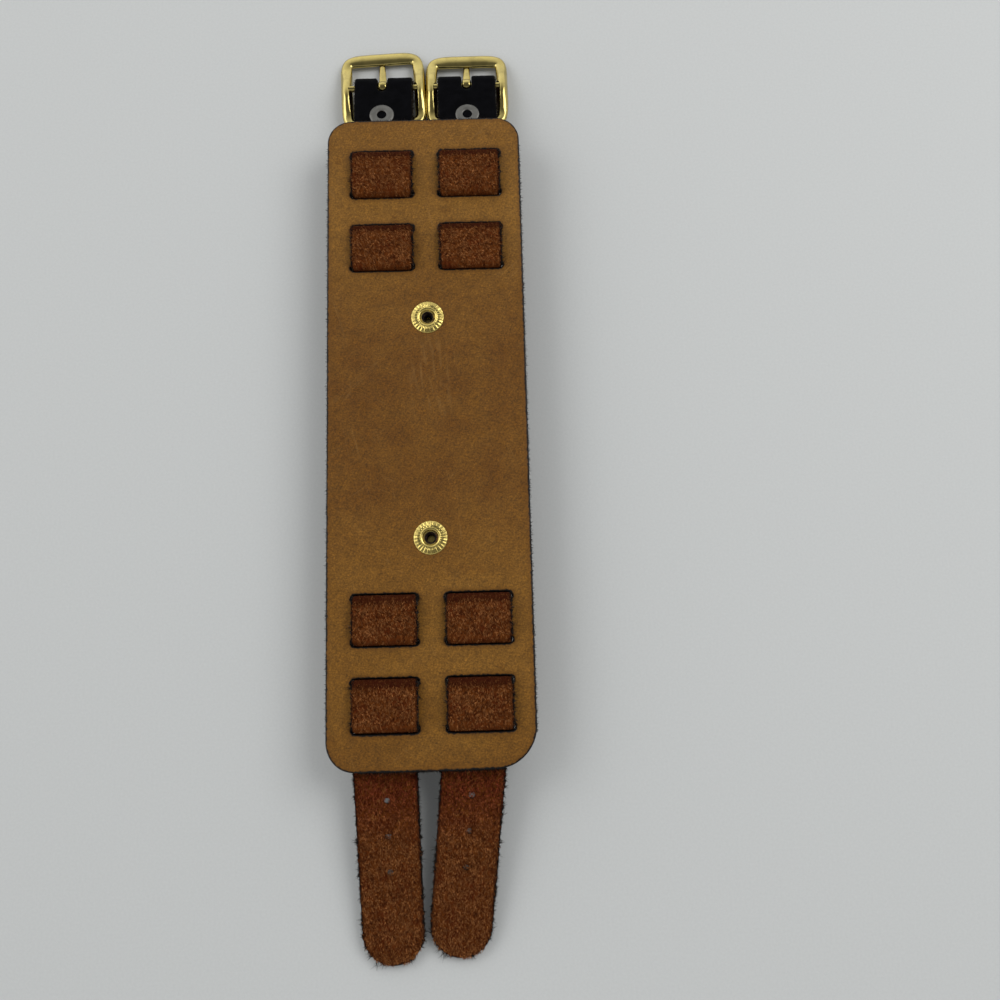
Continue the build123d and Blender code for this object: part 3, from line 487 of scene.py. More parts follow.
def metal(name, colour, roughness, stretch=(1, 1), tarnish=0.55, wear=0.06):
    # Fine scratches over the polish, and dull tarnish in broad patches
    material, tree = newMaterial(name, colour, roughness, 1.0)
    patches = ramp(tree, noise(tree, 260, 4, 0.6), [(0.42, 0.0), (0.75, 0.8)])
    tarnished = mix(tree, patches, colour, tuple(channel * tarnish for channel in colour))
    lines = noise(tree, 900, 3, 0.6, stretch, 0.4)
    rough = spread(tree, lines, 0.3, 0.75, roughness - wear, roughness + 2 * wear)
    return finished(material, colour=tarnished, roughness=rough, normal=bump(tree, lines, 0.12, 0.02))


def hairFinish(name, dark, light, blush=0.0):
    # Each hair keeps its own shade between the two colours; the blush reddens the straps where they
    # come out from under the cuff
    material, tree = newMaterial(name, dark, 0.85, specular=0.05)
    colour = mix(tree, pointMark(tree, "shade"), dark, light)
    level = spread(tree, splitAxes(tree, objectPlace(tree))["Y"], -0.105, -0.08, 0, 1)
    near = ramp(tree, level, [(0.1, 0.0), (0.6, blush), (0.9, blush), (1.0, 0.0)])
    redder = mix(tree, 1.0, colour, (0.86, 0.5, 0.6), "MULTIPLY")
    return finished(material, colour=mix(tree, near, colour, redder))


finishes = {
    "tan": tanLeather("tanLeather", tanLook),
    "suede": suede("strapSuede", suedeLook),
    "black": blackGrain("strapBlackGrain", (0.0017, 0.0017, 0.0023)),
    "edge": dyedEdge("dyedEdge", (0.0035, 0.003, 0.0028), (0.03, 0.022, 0.017)),
    "napHair": hairFinish("napHair", (0.07, 0.016, 0.003), (0.55, 0.22, 0.072), 1.0),
    "edgeHair": hairFinish("edgeHair", (0.004, 0.0032, 0.003), (0.15, 0.115, 0.09)),
    "brass": metal("buckleBrass", (0.56, 0.45, 0.155), 0.1),
    "snapBrass": metal("snapBrass", (0.66, 0.51, 0.155), 0.27),
    # Painted shade: the nickel's colour is set far darker than bare nickel, standing in for the dim
    # surroundings it mirrors
    "nickel": metal("rivetNickel", (0.17, 0.165, 0.15), 0.5),
    # Painted shade: this dark finish lines the rivet and snap bores, where only shade falls
    "throat": dyedEdge("throat", (0.012, 0.006, 0.004), (0.06, 0.035, 0.022)),
    "steel": metal("caseSteel", (0.6, 0.6, 0.59), 0.22, (1, 9), tarnish=0.85),
    "pinSteel": metal("pinSteel", (0.5, 0.5, 0.51), 0.3, tarnish=0.8),
    "plate": metal("movementPlate", (0.62, 0.61, 0.59), 0.3, (9, 1), tarnish=0.9),
    "wheelBrass": metal("wheelBrass", (0.74, 0.6, 0.32), 0.25, tarnish=0.85),
}
print("finishes made:", len(finishes))

cuffLow, cuffHigh = boxOf("cuff_base")
cuffSpec = Spec(
    topCorner=6.2, lowCorners=(7.0, 9.6), lowGain=(0.65, 0.5), lowReach=12, edgeRound=0.4, spacing=0.85,
    ripple=0.12, grain=0.02, snapHole=1.75, slotShift=-0.35, slotY=(74.25, 63.25, 53.55, 42.95),
    slotLength=16.4, slotWidth=2.0, slotPitch=23.0, pinchReach=1.4,
    fuzzCount=7000, fuzzRadius=0.055, fuzzLength=(0.2, 0.75), fuzzSpread=(0.6, 0.6, 0.35),
)
slotRows = np.array([*cuffSpec.slotY, *(-y for y in reversed(cuffSpec.slotY))]) + cuffSpec.slotShift
rimSteps = (0, 0.08, 0.2, 0.4)  # rows in the rounding of an outer edge, and either side of a cut
nearEdge = (-0.4, -0.2, -0.08, 0, 0.08, 0.2, 0.4)
squareShare = 0.8  # half side of the square of cells that a hole drops, as a share of its radius
rootDepth = 0.12  # how far an edge fibre's root lies inside the leather


def cells(grid):
    # The middle of each cell
    return (grid[1:, 1:] + grid[:-1, :-1]) / 2


def acrossLines(halfWidth, spacing, marks=(), near=()):
    rims = [(-halfWidth, rimSteps), (halfWidth, [-step for step in rimSteps])]
    return gridLines([-halfWidth, halfWidth, *marks], spacing, [*rims, *near])


def crowd(radius, count, most=88):
    # Distances from an end, closer together towards it, for rows over a round corner
    return radius * (1 - np.sin(np.linspace(0, math.radians(most), count)))


def roundCorners(x, fromEnd, halfWidth, radius):
    # Draws the rows in to a quarter circle at the corners, and measures the gap to the nearest edge
    over = np.clip(radius - fromEnd, 0, radius)
    x = x * (halfWidth - radius + np.sqrt(np.clip(radius**2 - over**2, 0, None))) / halfWidth
    past = np.abs(x) - (halfWidth - radius)
    gap = np.minimum(halfWidth - np.abs(x), fromEnd)
    return x, np.where((over > 0) & (past > 0), radius - np.hypot(past, over), gap)


def pinch(across, along, halfAcross, low, high, reach):
    # Narrows a slot's sides to round ends: the scale is the root of 1 - t squared, with t rising to 1
    # over the last half width, and it goes back to 1 beyond the end and beside the slot
    inside = np.minimum(along - low, high - along)
    t = np.clip((halfAcross - inside) / halfAcross, 0, 1)
    scale = np.sqrt(np.clip(1 - t**2, 0.03, 1))
    scale = np.where(inside < 0, np.clip(0.17 - inside / reach * 0.83, 0.17, 1), scale)
    weight = np.clip(1 - (np.abs(across) - halfAcross) / reach, 0, 1)
    return across * (1 + weight * (scale - 1))


def punch(x, s, keep, gap, centres, radius, reach=1.6):
    # Drops the square of cells at each hole and moves the points round it out to an uneven circle
    square = radius * squareShare
    for centre in centres:
        ds = s - centre
        out = np.maximum(np.abs(x), np.abs(ds))
        length = np.maximum(np.hypot(x, ds), 1e-6)
        share = np.clip((out - square) / reach, 0, 1)
        ragged = radius * (1 + 0.07 * smoothNoise(x / length, ds / length, 1.1, int(abs(centre) * 7)))
        wanted = (1 - share) * (ragged + np.clip(out - square, 0, None)) + share * length
        near = (out < square + reach) & (out >= square - 1e-6)
        keep &= ~((np.abs(cells(x)) < square) & (np.abs(cells(s) - centre) < square))
        x, s = np.where(near, x / length * wanted, x), np.where(near, centre + ds / length * wanted, s)
        gap = np.minimum(gap, np.abs(np.hypot(x, s - centre) - radius))
    return x, s, np.clip(gap, 0, None)


def scatter(size, each=1):
    # Normal draws, each one held for a whole clump
    return draw.normal(size=size).repeat(each, 0)


def makeCuff(spec):
    middle = (cuffLow + cuffHigh) / 2
    halfWidth, halfLength = (cuffHigh - cuffLow)[:2] / 2
    thickness = cuffHigh[2] - cuffLow[2]
    halfX, halfY, square = spec.slotLength / 2, spec.slotWidth / 2, spec.snapHole * squareShare
    slotXs = [side * spec.slotPitch / 2 - middle[0] for side in (-1, 1)]
    snapYs = [np.mean(boxOf(f"{name}_snap_post"), 0)[1] for name in ("upper", "lower")]
    xEdges = [-square, square, *(x + side * halfX for x in slotXs for side in (-1, 1))]
    cuts = [*((y, halfY) for y in slotRows), *((y, square) for y in snapYs)]
    yEdges = [y + side * half for y, half in cuts for side in (-1, 1)]
    xLines = acrossLines(halfWidth, spec.spacing, near=[(edge, nearEdge) for edge in xEdges])
    yLines = gridLines([
        -halfLength, halfLength, *(halfLength - crowd(spec.topCorner, 22, 90)),
        *(crowd(spec.lowCorners[1], 22, 90) - halfLength),
    ], spec.spacing, [(edge, nearEdge) for edge in yEdges])
    x, y = np.meshgrid(xLines, yLines, indexing="ij")
    radius = np.where(y > 0, spec.topCorner, np.where(x < 0, *spec.lowCorners))
    x, gap = roundCorners(x, halfLength - np.abs(y), halfWidth, radius)
    plainX, plainY, cellX, cellY = x, y, cells(x), cells(y)
    keep = np.ones(cellX.shape, bool)
    for slotX in slotXs:
        for slotY in slotRows:
            keep &= ~((np.abs(cellX - slotX) < halfX) & (np.abs(cellY - slotY) < halfY))
            moved = slotY + pinch(y - slotY, x - slotX, halfY, -halfX, halfX, spec.pinchReach)
            near = (np.abs(plainX - slotX) < halfX + spec.pinchReach) & (np.abs(plainY - slotY) < 2.5 * halfY)
            y = np.where(near, moved, y)
            away = np.hypot(np.clip(np.abs(x - slotX) - halfX + halfY, 0, None), y - slotY) - halfY
            gap = np.minimum(gap, np.abs(away))
    x, y, gap = punch(x, y, keep, gap, snapYs, spec.snapHole)

    def place(x, y, offset):
        # The low edge reaches out a little, less to the right, and the whole sheet ripples
        more = spec.lowGain[0] - spec.lowGain[1] * np.clip(x / halfWidth, 0, None)**2
        y = y - more * ease((-y - halfLength + spec.lowReach) / spec.lowReach)
        wave = spec.ripple * (smoothNoise(x, y, 38, 3) + 0.4 * smoothNoise(x, y, 9, 5))
        return np.stack([x + middle[0], y + middle[1], middle[2] + offset + wave * 0.5], -1)

    grain = spec.grain * smoothNoise(x, y, 1.7, 9)
    cuff = slab("cuffLeather", x, y, keep, place, gap, thickness, spec.edgeRound,
                ["tan", "tan", "edge"], (grain, grain))
    ridePiece(cuff, "cuff", "cuff_leather", "cuff_base")

    # Loose fibres along the cut outline, each standing out from its own side
    count = spec.fuzzCount
    side = draw.integers(0, 4, count)
    share = draw.uniform(-1, 1, count)
    corner = spec.lowCorners[1] * 0.8
    rimX = np.where(side < 2, np.where(side == 0, -1, 1) * halfWidth, share * (halfWidth - corner))
    rimY = np.where(side < 2, share * (halfLength - corner), np.where(side == 2, -1, 1) * halfLength)
    outX, outY = np.where(side < 2, np.sign(rimX), 0), np.where(side < 2, 0, np.sign(rimY))
    level = draw.uniform(-0.5, 0.5, count) * (thickness - 0.5)
    roots = place(rimX - outX * rootDepth, rimY - outY * rootDepth, level)
    headings = np.stack([outX, outY, 0 * outX], 1) + scatter((count, 3)) * spec.fuzzSpread
    lengths = draw.uniform(*spec.fuzzLength, count)
    fuzz = fibres("cuffEdgeFuzz", roots, headings, lengths, spec.fuzzRadius, scatter((count, 3)) * 0.4,
                  "edgeHair", draw.uniform(0, 0.25, count))
    ridePiece(fuzz, "cuff", "cuff_leather")


makeCuff(cuffSpec)
print("cuff made")

strapSpec = Spec(
    width=15.4, windowSpread=0.045, slotSpread=0.013, thickness=1.6, edgeRound=0.4, spacing=0.62,
    bend=0.9, seat=0.05, droopBend=22.0, sagStart=9.0, flapLap=4.5, flapSlope=9.0, barRadius=1.0,
    rivetReach=10.8, clinch=2.65, foldReach=11, notchWidth=2.7, notchReach=(2.0, 2.5), notchPinch=1.5,
    endStart=76, endReach=8, tipTaper=0.045, tipTaperLength=40, holeRadius=0.8, holePitch=8.55, holeCount=3,
    dome=0.3, domeHalf=5.2, grain=0.02, nap=0.05, napDots=0.03,
    napDraws=60000, napPerSquare=22, napPerClump=3, napLength=(0.4, 0.95), napRadius=0.058,
    fuzzClumps=2300, fuzzPerClump=7, fuzzRadius=0.06,
    fuzzPerHole=46, holeFuzzLength=(0.25, 0.75), holeFuzzRadius=0.04,
    # Where each strap's free end and fold lie: shifts, turn in degrees, and lengths past the cuff
    left=Spec(
        rowX=-11.5, endShift=-0.53, endTurn=1.7, firstHole=7.5, tip=46.5, foldShift=-0.1, notchShift=-0.35,
        rivetShift=(-0.35, -0.3)),
    right=Spec(
        rowX=11.5, endShift=-2.06, endTurn=-6.0, firstHole=6.8, tip=45.3, foldShift=-0.3, notchShift=-0.05,
        rivetShift=(-0.2, -0.7)),
)


def flapAxes(spec):
    # How the folded flap lies: its place over the bar, its downhill run, its upright and its radius
    slope = math.radians(spec.flapSlope)
    run = np.array([math.cos(slope), -math.sin(slope)])
    normal = np.array([math.sin(slope), math.cos(slope)])
    fold = spec.barRadius + spec.seat + spec.thickness / 2
    return pivots["left_buckle_tilt"][1:] + normal * fold, run, normal, fold


def strapRoute(spec, tip):
    # The middle of the strap's thickness in Y and Z, from its corners and the radius at each
    thickness, bend, seat = spec.thickness, spec.bend, spec.seat
    low = cuffLow[2] - seat - thickness / 2
    high = cuffHigh[2] + seat + thickness / 2
    flapTop, run, normal, fold = flapAxes(spec)
    under = flapTop - 2 * normal * fold
    layer = thickness + seat
    mainRise = flapTop - normal * layer - run * (spec.rivetReach - spec.clinch)
    mainFlat = low - layer
    flapEnd = cuffHigh[1] - spec.flapLap
    climb = flapEnd - thickness
    downhill = math.sin(math.radians(spec.flapSlope))
    route = [
        ((flapEnd, low), 0),
        (flapTop - run * (low - flapTop[1]) / downhill, 3 * bend),
        (flapTop + run * fold, fold),
        (under + run * fold, fold),
        (under - run * spec.barRadius / 2, bend),
        (mainRise, bend),
        (mainRise - run * (mainFlat - mainRise[1]) / downhill, 3 * bend),
        ((climb, mainFlat), bend),
        ((climb - layer, low), bend),
    ]
    level, other = low, high
    for y in slotRows:
        route += [((y, level), bend), ((y, other), bend)]
        level, other = other, level
    sagY = -cuffHigh[1] + spec.sagStart - 2 * bend
    tipY = -cuffHigh[1] - tip
    fall = (low - thickness / 2) / (sagY - tipY)
    route += [((sagY, low), spec.droopBend), ((tipY, thickness / 2 * math.hypot(1, fall) + seat), 0)]
    return roundedPath([corner for corner, _ in route], [radius for _, radius in route[1:-1]], 0.12)


def makeStrap(side, spec):
    seed, lie = len(side), spec[side]
    path = strapRoute(spec, lie.tip)
    run, along = alongPath(path)
    foldEnd, fullLength = run[np.argmax(path[:, 0])], run[-1]
    halfWidth, thickness = spec.width / 2, spec.thickness
    windows = slotRows.reshape(4, 2).mean(1)
    cuffEnd = -cuffHigh[1]

    def place(x, s, offset):
        # Along the route, domed and spread a little in each window; past the last slot the free end
        # shifts sideways and turns in plan, and the fold shifts with its buckle
        y, z, ny, nz = along(s)
        window = np.clip((z - cuffHigh[2]) / (thickness / 2), 0, 1)
        nearest = np.abs(y[..., None] - windows).min(-1)
        dome = np.clip(1 - (nearest / spec.domeHalf)**2, 0, 1) * (1 - 0.5 * (x / halfWidth)**2)
        x = x * (1 + spec.slotSpread + (spec.windowSpread - spec.slotSpread) * window)
        x = x * (1 - spec.tipTaper * np.clip((cuffEnd - y) / spec.tipTaperLength, 0, 1))
        y, z = y + ny * offset, z + nz * offset + spec.dome * window * dome
        share = ease((-spec.endStart - y) / spec.endReach)
        angle = math.radians(lie.endTurn) * share
        beyond = np.minimum(y - cuffEnd, 0)
        foldX = x + lie.foldShift * ease((y - cuffHigh[1] + 1) / spec.foldReach)
        endX = lie.endShift * share + x * np.cos(angle) - beyond * np.sin(angle)
        endY = y + beyond * (np.cos(angle) - 1) + x * np.sin(angle)
        return np.stack([lie.rowX + np.where(y > 0, foldX, endX), np.where(y > 0, y, endY), z], -1)

    def rowAt(s):
        # The half width left at each distance along, with the round tip, and how far into the tip it is
        tip = np.clip(s - fullLength + halfWidth, 0, halfWidth)
        return np.sqrt(halfWidth**2 - tip**2), tip

    notchHalf, notchX, (reachLow, reachHigh) = spec.notchWidth / 2, lie.notchShift, spec.notchReach
    notchSpan = math.pi * flapAxes(spec)[3] / 2 + notchHalf * 0.4
    notchLow, notchHigh = foldEnd - notchSpan - reachLow, foldEnd + notchSpan + reachHigh
    tail = run > fullLength * 0.7
    holeY = cuffEnd - lie.firstHole - spec.holePitch * np.arange(spec.holeCount)
    holeS = np.interp(-holeY, -path[tail, 0], run[tail])
    square = spec.holeRadius * squareShare
    holeRows = (-square, -square / 2, 0, square / 2, square)
    xLines = acrossLines(halfWidth, spec.spacing, holeRows, [
        (notchX + half, (-0.3, 0, 0.3)) for half in (-notchHalf, notchHalf)])
    sLines = gridLines([0, *(fullLength - crowd(halfWidth, 26))], spec.spacing, [
        (0, (0, 0.1, 0.25)), (notchLow, (0, 0.3, 0.7)), (notchHigh, (-0.7, -0.3, 0)),
        *((s, holeRows) for s in holeS)])
    x, s = np.meshgrid(xLines, sLines, indexing="ij")
    x, gap = roundCorners(x, fullLength - s, halfWidth, halfWidth)
    gap = np.minimum(gap, s)
    cellS = cells(s)
    keep = ~((np.abs(cells(x) - notchX) < notchHalf) & (cellS > notchLow) & (cellS < notchHigh))
    fromNotch = np.maximum(notchLow - s, s - notchHigh)
    pinched = notchX + pinch(x - notchX, s, notchHalf, notchLow, notchHigh, spec.notchPinch)
    inNotch = (fromNotch < spec.notchPinch) & (np.abs(x - notchX) < notchHalf + spec.notchPinch)
    x = np.where(inNotch, pinched, x)
    away = np.hypot(x - notchX, np.clip(fromNotch + notchHalf, 0, None)) - notchHalf
    dyeGap = np.clip(np.minimum(gap, np.abs(away)), 0, None)
    x, s, gap = punch(x, s, keep, dyeGap, holeS, spec.holeRadius)
    y = np.interp(s, run, path[:, 0])
    # Painted shade: how near each point lies to the slot at a window's top, where the strap dives under the
    # cuff
    slotShade = 1 - np.clip((np.abs(y[..., None] - slotRows[::2]).min(-1) - 1.2) / 0.6, 0, 1)
    nap = spec.nap * smoothNoise(x, s, 1.1, 21 + seed) + spec.napDots * scatter(x.shape)
    grain = spec.grain * smoothNoise(x, s, 2.3, 31 + seed)
    strap = slab(f"{side}StrapLeather", x, s, keep, place, gap, thickness, spec.edgeRound,
                 ["black", "suede", "edge"], (grain, nap), {"slotShade": slotShade, "dyeGap": dyeGap})
    ridePiece(strap, "cuff", "strap_leather", f"{side}_strap")

    # Nap: short hairs lying along the suede where it shows, in drifting directions
    pool = draw.uniform(foldEnd, fullLength - 0.5, spec.napDraws)
    poolY, poolZ = along(pool)[:2]
    pool = pool[(poolZ > cuffHigh[2] + 0.3) | (poolY < cuffEnd)]
    shown = len(pool) / spec.napDraws * (fullLength - foldEnd) * spec.width
    each = spec.napPerClump
    clumps = int(shown * spec.napPerSquare / each)
    count = clumps * each
    rootS = np.minimum(pool[:clumps].repeat(each) + scatter(count) * 0.1, fullLength - 0.3)
    across = draw.uniform(-0.98, 0.98, clumps).repeat(each) + scatter(count) * 0.011
    rootX = np.clip(across, -0.985, 0.985) * rowAt(rootS)[0]
    rootY = along(rootS)[0]
    level = np.full(count, -thickness / 2)
    heading = 0.5 * smoothNoise(rootX, rootS, 7, 41 + seed) + np.where(rootY > 0, 0.7, 0.1)
    heading += scatter(clumps, each) * 0.35 + scatter(count) * 0.12
    heading += math.pi * draw.integers(0, 2, clumps).repeat(each)
    roots = place(rootX, rootS, level + 0.05)
    ahead = place(rootX + np.sin(heading) * 0.8, rootS + np.cos(heading) * 0.8, level - 0.2)
    patch = smoothNoise(rootX * 1.5, rootS, 2.6, 43 + seed) + 0.6 * smoothNoise(rootX, rootS, 9, 44 + seed)
    shades = np.clip(0.27 + 0.12 * patch + 0.28 * scatter(clumps, each) + 0.12 * scatter(count), 0, 1)
    # Painted shade: hairs darker beside the slot at the top of each window, where the strap dives under the
    # cuff
    shades *= 1 - 0.7 * np.clip(2.4 - 1.4 * np.abs(rootY[:, None] - slotRows[::2]).min(-1), 0, 1)
    shades *= np.where(np.abs(rootX) > halfWidth - 0.7, 0.35, 1)
    lengths = draw.uniform(*spec.napLength, count)
    napHairs = fibres(f"{side}StrapNap", roots, ahead - roots, lengths, spec.napRadius, np.zeros((count, 3)),
                      "napHair", shades, spindle=True)

    # Loose fibres at the cut edges, in clumps that share a direction
    clumps, each = spec.fuzzClumps, spec.fuzzPerClump
    count = clumps * each
    rootS = draw.uniform(foldEnd - 12, fullLength - 0.2, clumps).repeat(each) + scatter(count) * 0.12
    rootS = np.clip(rootS, 0, fullLength - 0.1)
    edge = draw.choice([-1, 1], clumps).repeat(each)
    halfRow, tip = rowAt(rootS)
    rootX = edge * (halfRow - rootDepth)
    level = draw.uniform(-0.5, 0.35, count) * thickness
    roots = place(rootX, rootS, level)
    swayS = scatter(clumps, each) * 0.9 + scatter(count) * 0.3 + 0.8 * tip / halfWidth
    reachX = edge * draw.uniform(0.25, 0.9, count)
    ahead = place(rootX + reachX, rootS + swayS, level + scatter(count) * 0.3)
    lengths = (draw.gamma(2.0, 0.24, clumps).repeat(each) + 0.14) * draw.uniform(0.5, 1, count)
    lengths *= 1 + 0.5 * tip / halfWidth
    shades = np.clip(draw.gamma(1.2, 0.13, count), 0, 1)
    edgeHairs = fibres(f"{side}StrapEdgeFuzz", roots, ahead - roots, lengths, spec.fuzzRadius,
                       scatter((count, 3)) * 0.4, "edgeHair", shades)

    # Pale fibres that cross the punched holes
    each = spec.fuzzPerHole
    count = each * len(holeS)
    angle = draw.uniform(0, 2 * math.pi, count)
    holeRadius = spec.holeRadius * 1.06
    rootX, rootS = holeRadius * np.cos(angle), holeS.repeat(each) + holeRadius * np.sin(angle)
    level = draw.uniform(-0.45, 0.1, count) * thickness
    roots = place(rootX, rootS, level)
    ahead = place(rootX - np.cos(angle + 0.5), rootS - np.sin(angle + 0.5), level - 0.1)
    lengths = draw.uniform(*spec.holeFuzzLength, count)
    holeHairs = fibres(f"{side}StrapHoleFuzz", roots, ahead - roots, lengths, spec.holeFuzzRadius,
                       scatter((count, 3)) * 0.4, "edgeHair", draw.uniform(0.3, 1, count))
    for hairs in (napHairs, edgeHairs, holeHairs):
        ridePiece(hairs, "cuff", "strap_leather")


for side in ("left", "right"):
    makeStrap(side, strapSpec)
print("straps made")

buckleSpec = Spec(
    droop=7.2, nearReach=12.6, farPower=5.2, nearPower=5.0, innerPower=30, sideWidth=3.3, endWidth=3.8,
    back=-0.85, front=-2.7, flatten=0.9, barRadius=0.85, bossRise=0.8, bossReach=9.0,
    bossFrom=6, notchFrom=6, notchDepth=1.05, notchHalf=1.0, ringSteps=(420, 36), barSteps=(60, 32),
    prongRoot=2.5, prongTip=1.3, prongLoop=1.45, prongThick=0.8, prongDrop=2.2, prongBend=5,
    curl=(-32, 270), shank=3.2, blunt=0.4, tipSetback=0.5, tipLength=4,
    left=Spec(halfWidth=11.75, shift=-0.35, farReach=12.9, turn=3.1),
    right=Spec(halfWidth=11.4, shift=-0.05, farReach=11.4, turn=0.2),
)


def bucklePlace(side, spec, turned=True):
    # Turns the buckle's own (x, along, up) into the row's axes at the bar
    lie, centre = spec[side], pivots[f"{side}_buckle_tilt"]
    droop, turn = math.radians(spec.droop), math.radians(lie.turn if turned else 0)

    def place(x, s, n):
        x = x + lie.shift
        turnedX = x * math.cos(turn) - s * math.sin(turn) + strapSpec[side].foldShift
        turnedS = s * math.cos(turn) + x * math.sin(turn)
        y = turnedS * math.cos(droop) + n * math.sin(droop)
        return centre + np.stack([turnedX + 0 * n, y, n * math.cos(droop) - turnedS * math.sin(droop)], -1)
    return place


def makeBuckle(side, spec):
    # The frame: a flattened ring between an outer and an inner rounded oblong; the bar is a plain rod,
    # straight along the fold even where the frame lies turned on it
    place = bucklePlace(side, spec)
    rows, columns = spec.ringSteps
    angle, around = circle(rows)[:, None], circle(columns)[None, :]

    def outline(halfX, halfS, power):
        reach = (np.abs(np.cos(angle) / halfX)**power + np.abs(np.sin(angle) / halfS)**power)**(-1 / power)
        return reach * np.cos(angle), reach * np.sin(angle)

    far, halfWidth = np.sin(angle) > 0, spec[side].halfWidth
    reach = np.where(far, spec[side].farReach, spec.nearReach)
    outX, outS = outline(halfWidth, reach, np.where(far, spec.farPower, spec.nearPower))
    inX, inS = outline(halfWidth - spec.sideWidth, reach - spec.endWidth, spec.innerPower)
    share = 0.5 + 0.5 * soft(np.cos(around), spec.flatten)
    x, s = inX + (outX - inX) * share, inS + (outS - inS) * share
    boss = 0.5 + 0.5 * np.cos(math.pi * np.clip(s / spec.bossReach, -1, 1))
    boss = np.where(np.abs(x) > spec.bossFrom, boss, 0)
    dip = ease(np.where(s > spec.notchFrom, 1.6 - np.abs(x) / spec.notchHalf, 0))
    middle, wave = (spec.back + spec.front) / 2, soft(np.sin(around), spec.flatten)
    over = spec.back - middle + (spec.bossRise - spec.back) * boss
    under = middle - spec.front - spec.notchDepth * dip
    ring = place(x, s, middle + np.where(wave > 0, over, under) * wave)
    rows, columns = spec.barSteps
    turn = circle(columns)[None, :]
    barX = np.linspace(-1, 1, rows)[:, None] * (halfWidth - spec.sideWidth * 0.7) + 0 * turn
    barS, barN = spec.barRadius * np.cos(turn) + 0 * barX, spec.barRadius * np.sin(turn) + 0 * barX
    bar = bucklePlace(side, spec, turned=False)(barX, barS, barN)
    faces = [gridFaces(*x.shape, True, True), gridFaces(*barX.shape, False, True) + x.size]
    points = np.concatenate([ring.reshape(-1, 3), bar.reshape(-1, 3)])
    buckle = meshPiece(f"{side}BuckleFrame", points, np.concatenate(faces), ["brass"], merge=True)
    ridePiece(buckle, f"{side}_buckle", "buckle_brass", f"{side}_buckle_frame")

    # The prong: a strip curled once round the bar, then carried on along the front, narrower to its tip
    loop, tip, low = spec.prongLoop, spec[side].farReach - spec.tipSetback, -spec.prongDrop
    curl = np.radians(np.linspace(*spec.curl, 60))
    tongue = [(0, -loop), (spec.shank, -loop - 0.1), (tip - spec.tipLength, low), (tip, low)]
    tongue = softCorners(tongue, spec.prongBend, 0.25)
    run, along = alongPath(np.concatenate([loop * np.stack([np.cos(curl), np.sin(curl)], 1), tongue[1:]]))
    ends = np.array([0, 0.05, 0.15])
    travel = [ends, np.linspace(0.3, run[-1] - 0.5, 150), run[-1] - np.array([0.3, *ends[::-1]])]
    travel = np.concatenate(travel)
    s, n, ns, nn = (column[:, None] for column in along(travel))
    section = circle(24)[None, :]
    fromEnds = np.minimum(travel, run[-1] - travel)[:, None]
    blunt = np.sqrt(np.clip(1 - (1 - np.clip(fromEnds / spec.blunt, 0, 1))**2, 0.02, 1))
    taper = np.clip((travel - run[-1] + tip) / tip, 0, 1)[:, None]
    wide = (spec.prongRoot + (spec.prongTip - spec.prongRoot) * taper) / 2 * blunt
    lift = spec.prongThick / 2 * (1 + 0.1 * taper) * blunt * np.sin(section)
    points = place(wide * soft(np.cos(section), spec.flatten), s + ns * lift, n + nn * lift)
    prong = tube(f"{side}BuckleProng", points, "brass")
    ridePiece(prong, f"{side}_prong", "buckle_brass", f"{side}_buckle_prong")


for side in ("left", "right"):
    makeBuckle(side, buckleSpec)
print("buckles made")

rivetSpec = Spec(flange=3.35, crest=2.45, rise=0.45, bore=1.25, tube=1.48, clinch=2.0)


def makeRivet(side, spec):
    # A rolled ring on the flap, its tube, and the end rolled over under both layers
    top, run, normal, _ = flapAxes(strapSpec)
    lie, thickness = strapSpec[side], strapSpec.thickness
    seat = top - run * strapSpec.rivetReach + normal * thickness / 2
    shiftX, shiftY = lie.rivetShift
    centre = np.array([lie.rowX + shiftX, seat[0] + shiftY, seat[1] - run[1] * shiftY])
    axes = np.array([(1, 0, 0), (0, *run), (0, *normal)])
    bore, flange, crest, rise, clinch = spec.bore, spec.flange, spec.crest, spec.rise, spec.clinch
    grip = -2 * thickness - strapSpec.seat
    profile = softCorners([
        (bore, grip + 0.2), (bore, rise * 0.5), (bore + 0.2, rise * 0.85), (crest - 0.3, rise),
        (crest + 0.4, rise * 0.82), (flange - 0.08, 0.16), (flange, -0.02), (flange - 0.2, -0.05),
        (spec.tube, -0.02), (spec.tube, grip), (clinch, grip - 0.05), (clinch - 0.1, grip - 0.35),
        (bore + 0.1, grip - 0.3), (bore, grip + 0.2)], 0.15, 0.1)
    place = lambda *local: centre + np.stack(local, -1) @ axes
    # Inside the bore the tube takes the dark painted shade instead of nickel
    rivet = turned(f"{side}FoldRivet", profile, place, ["nickel", "throat"], throat=bore + 0.03)
    ridePiece(rivet, "cuff", "rivet_nickel", f"{side}_fold_rivet")


for side in ("left", "right"):
    makeRivet(side, rivetSpec)
print("rivets made")

snapSpec = Spec(
    flange=4.28, rise=0.55, crown=3.2, ridge=2.45, throat=1.5, bore=1.0, wall=0.3, depth=3.0,
    crimps=26, crimpDepth=0.055,
)


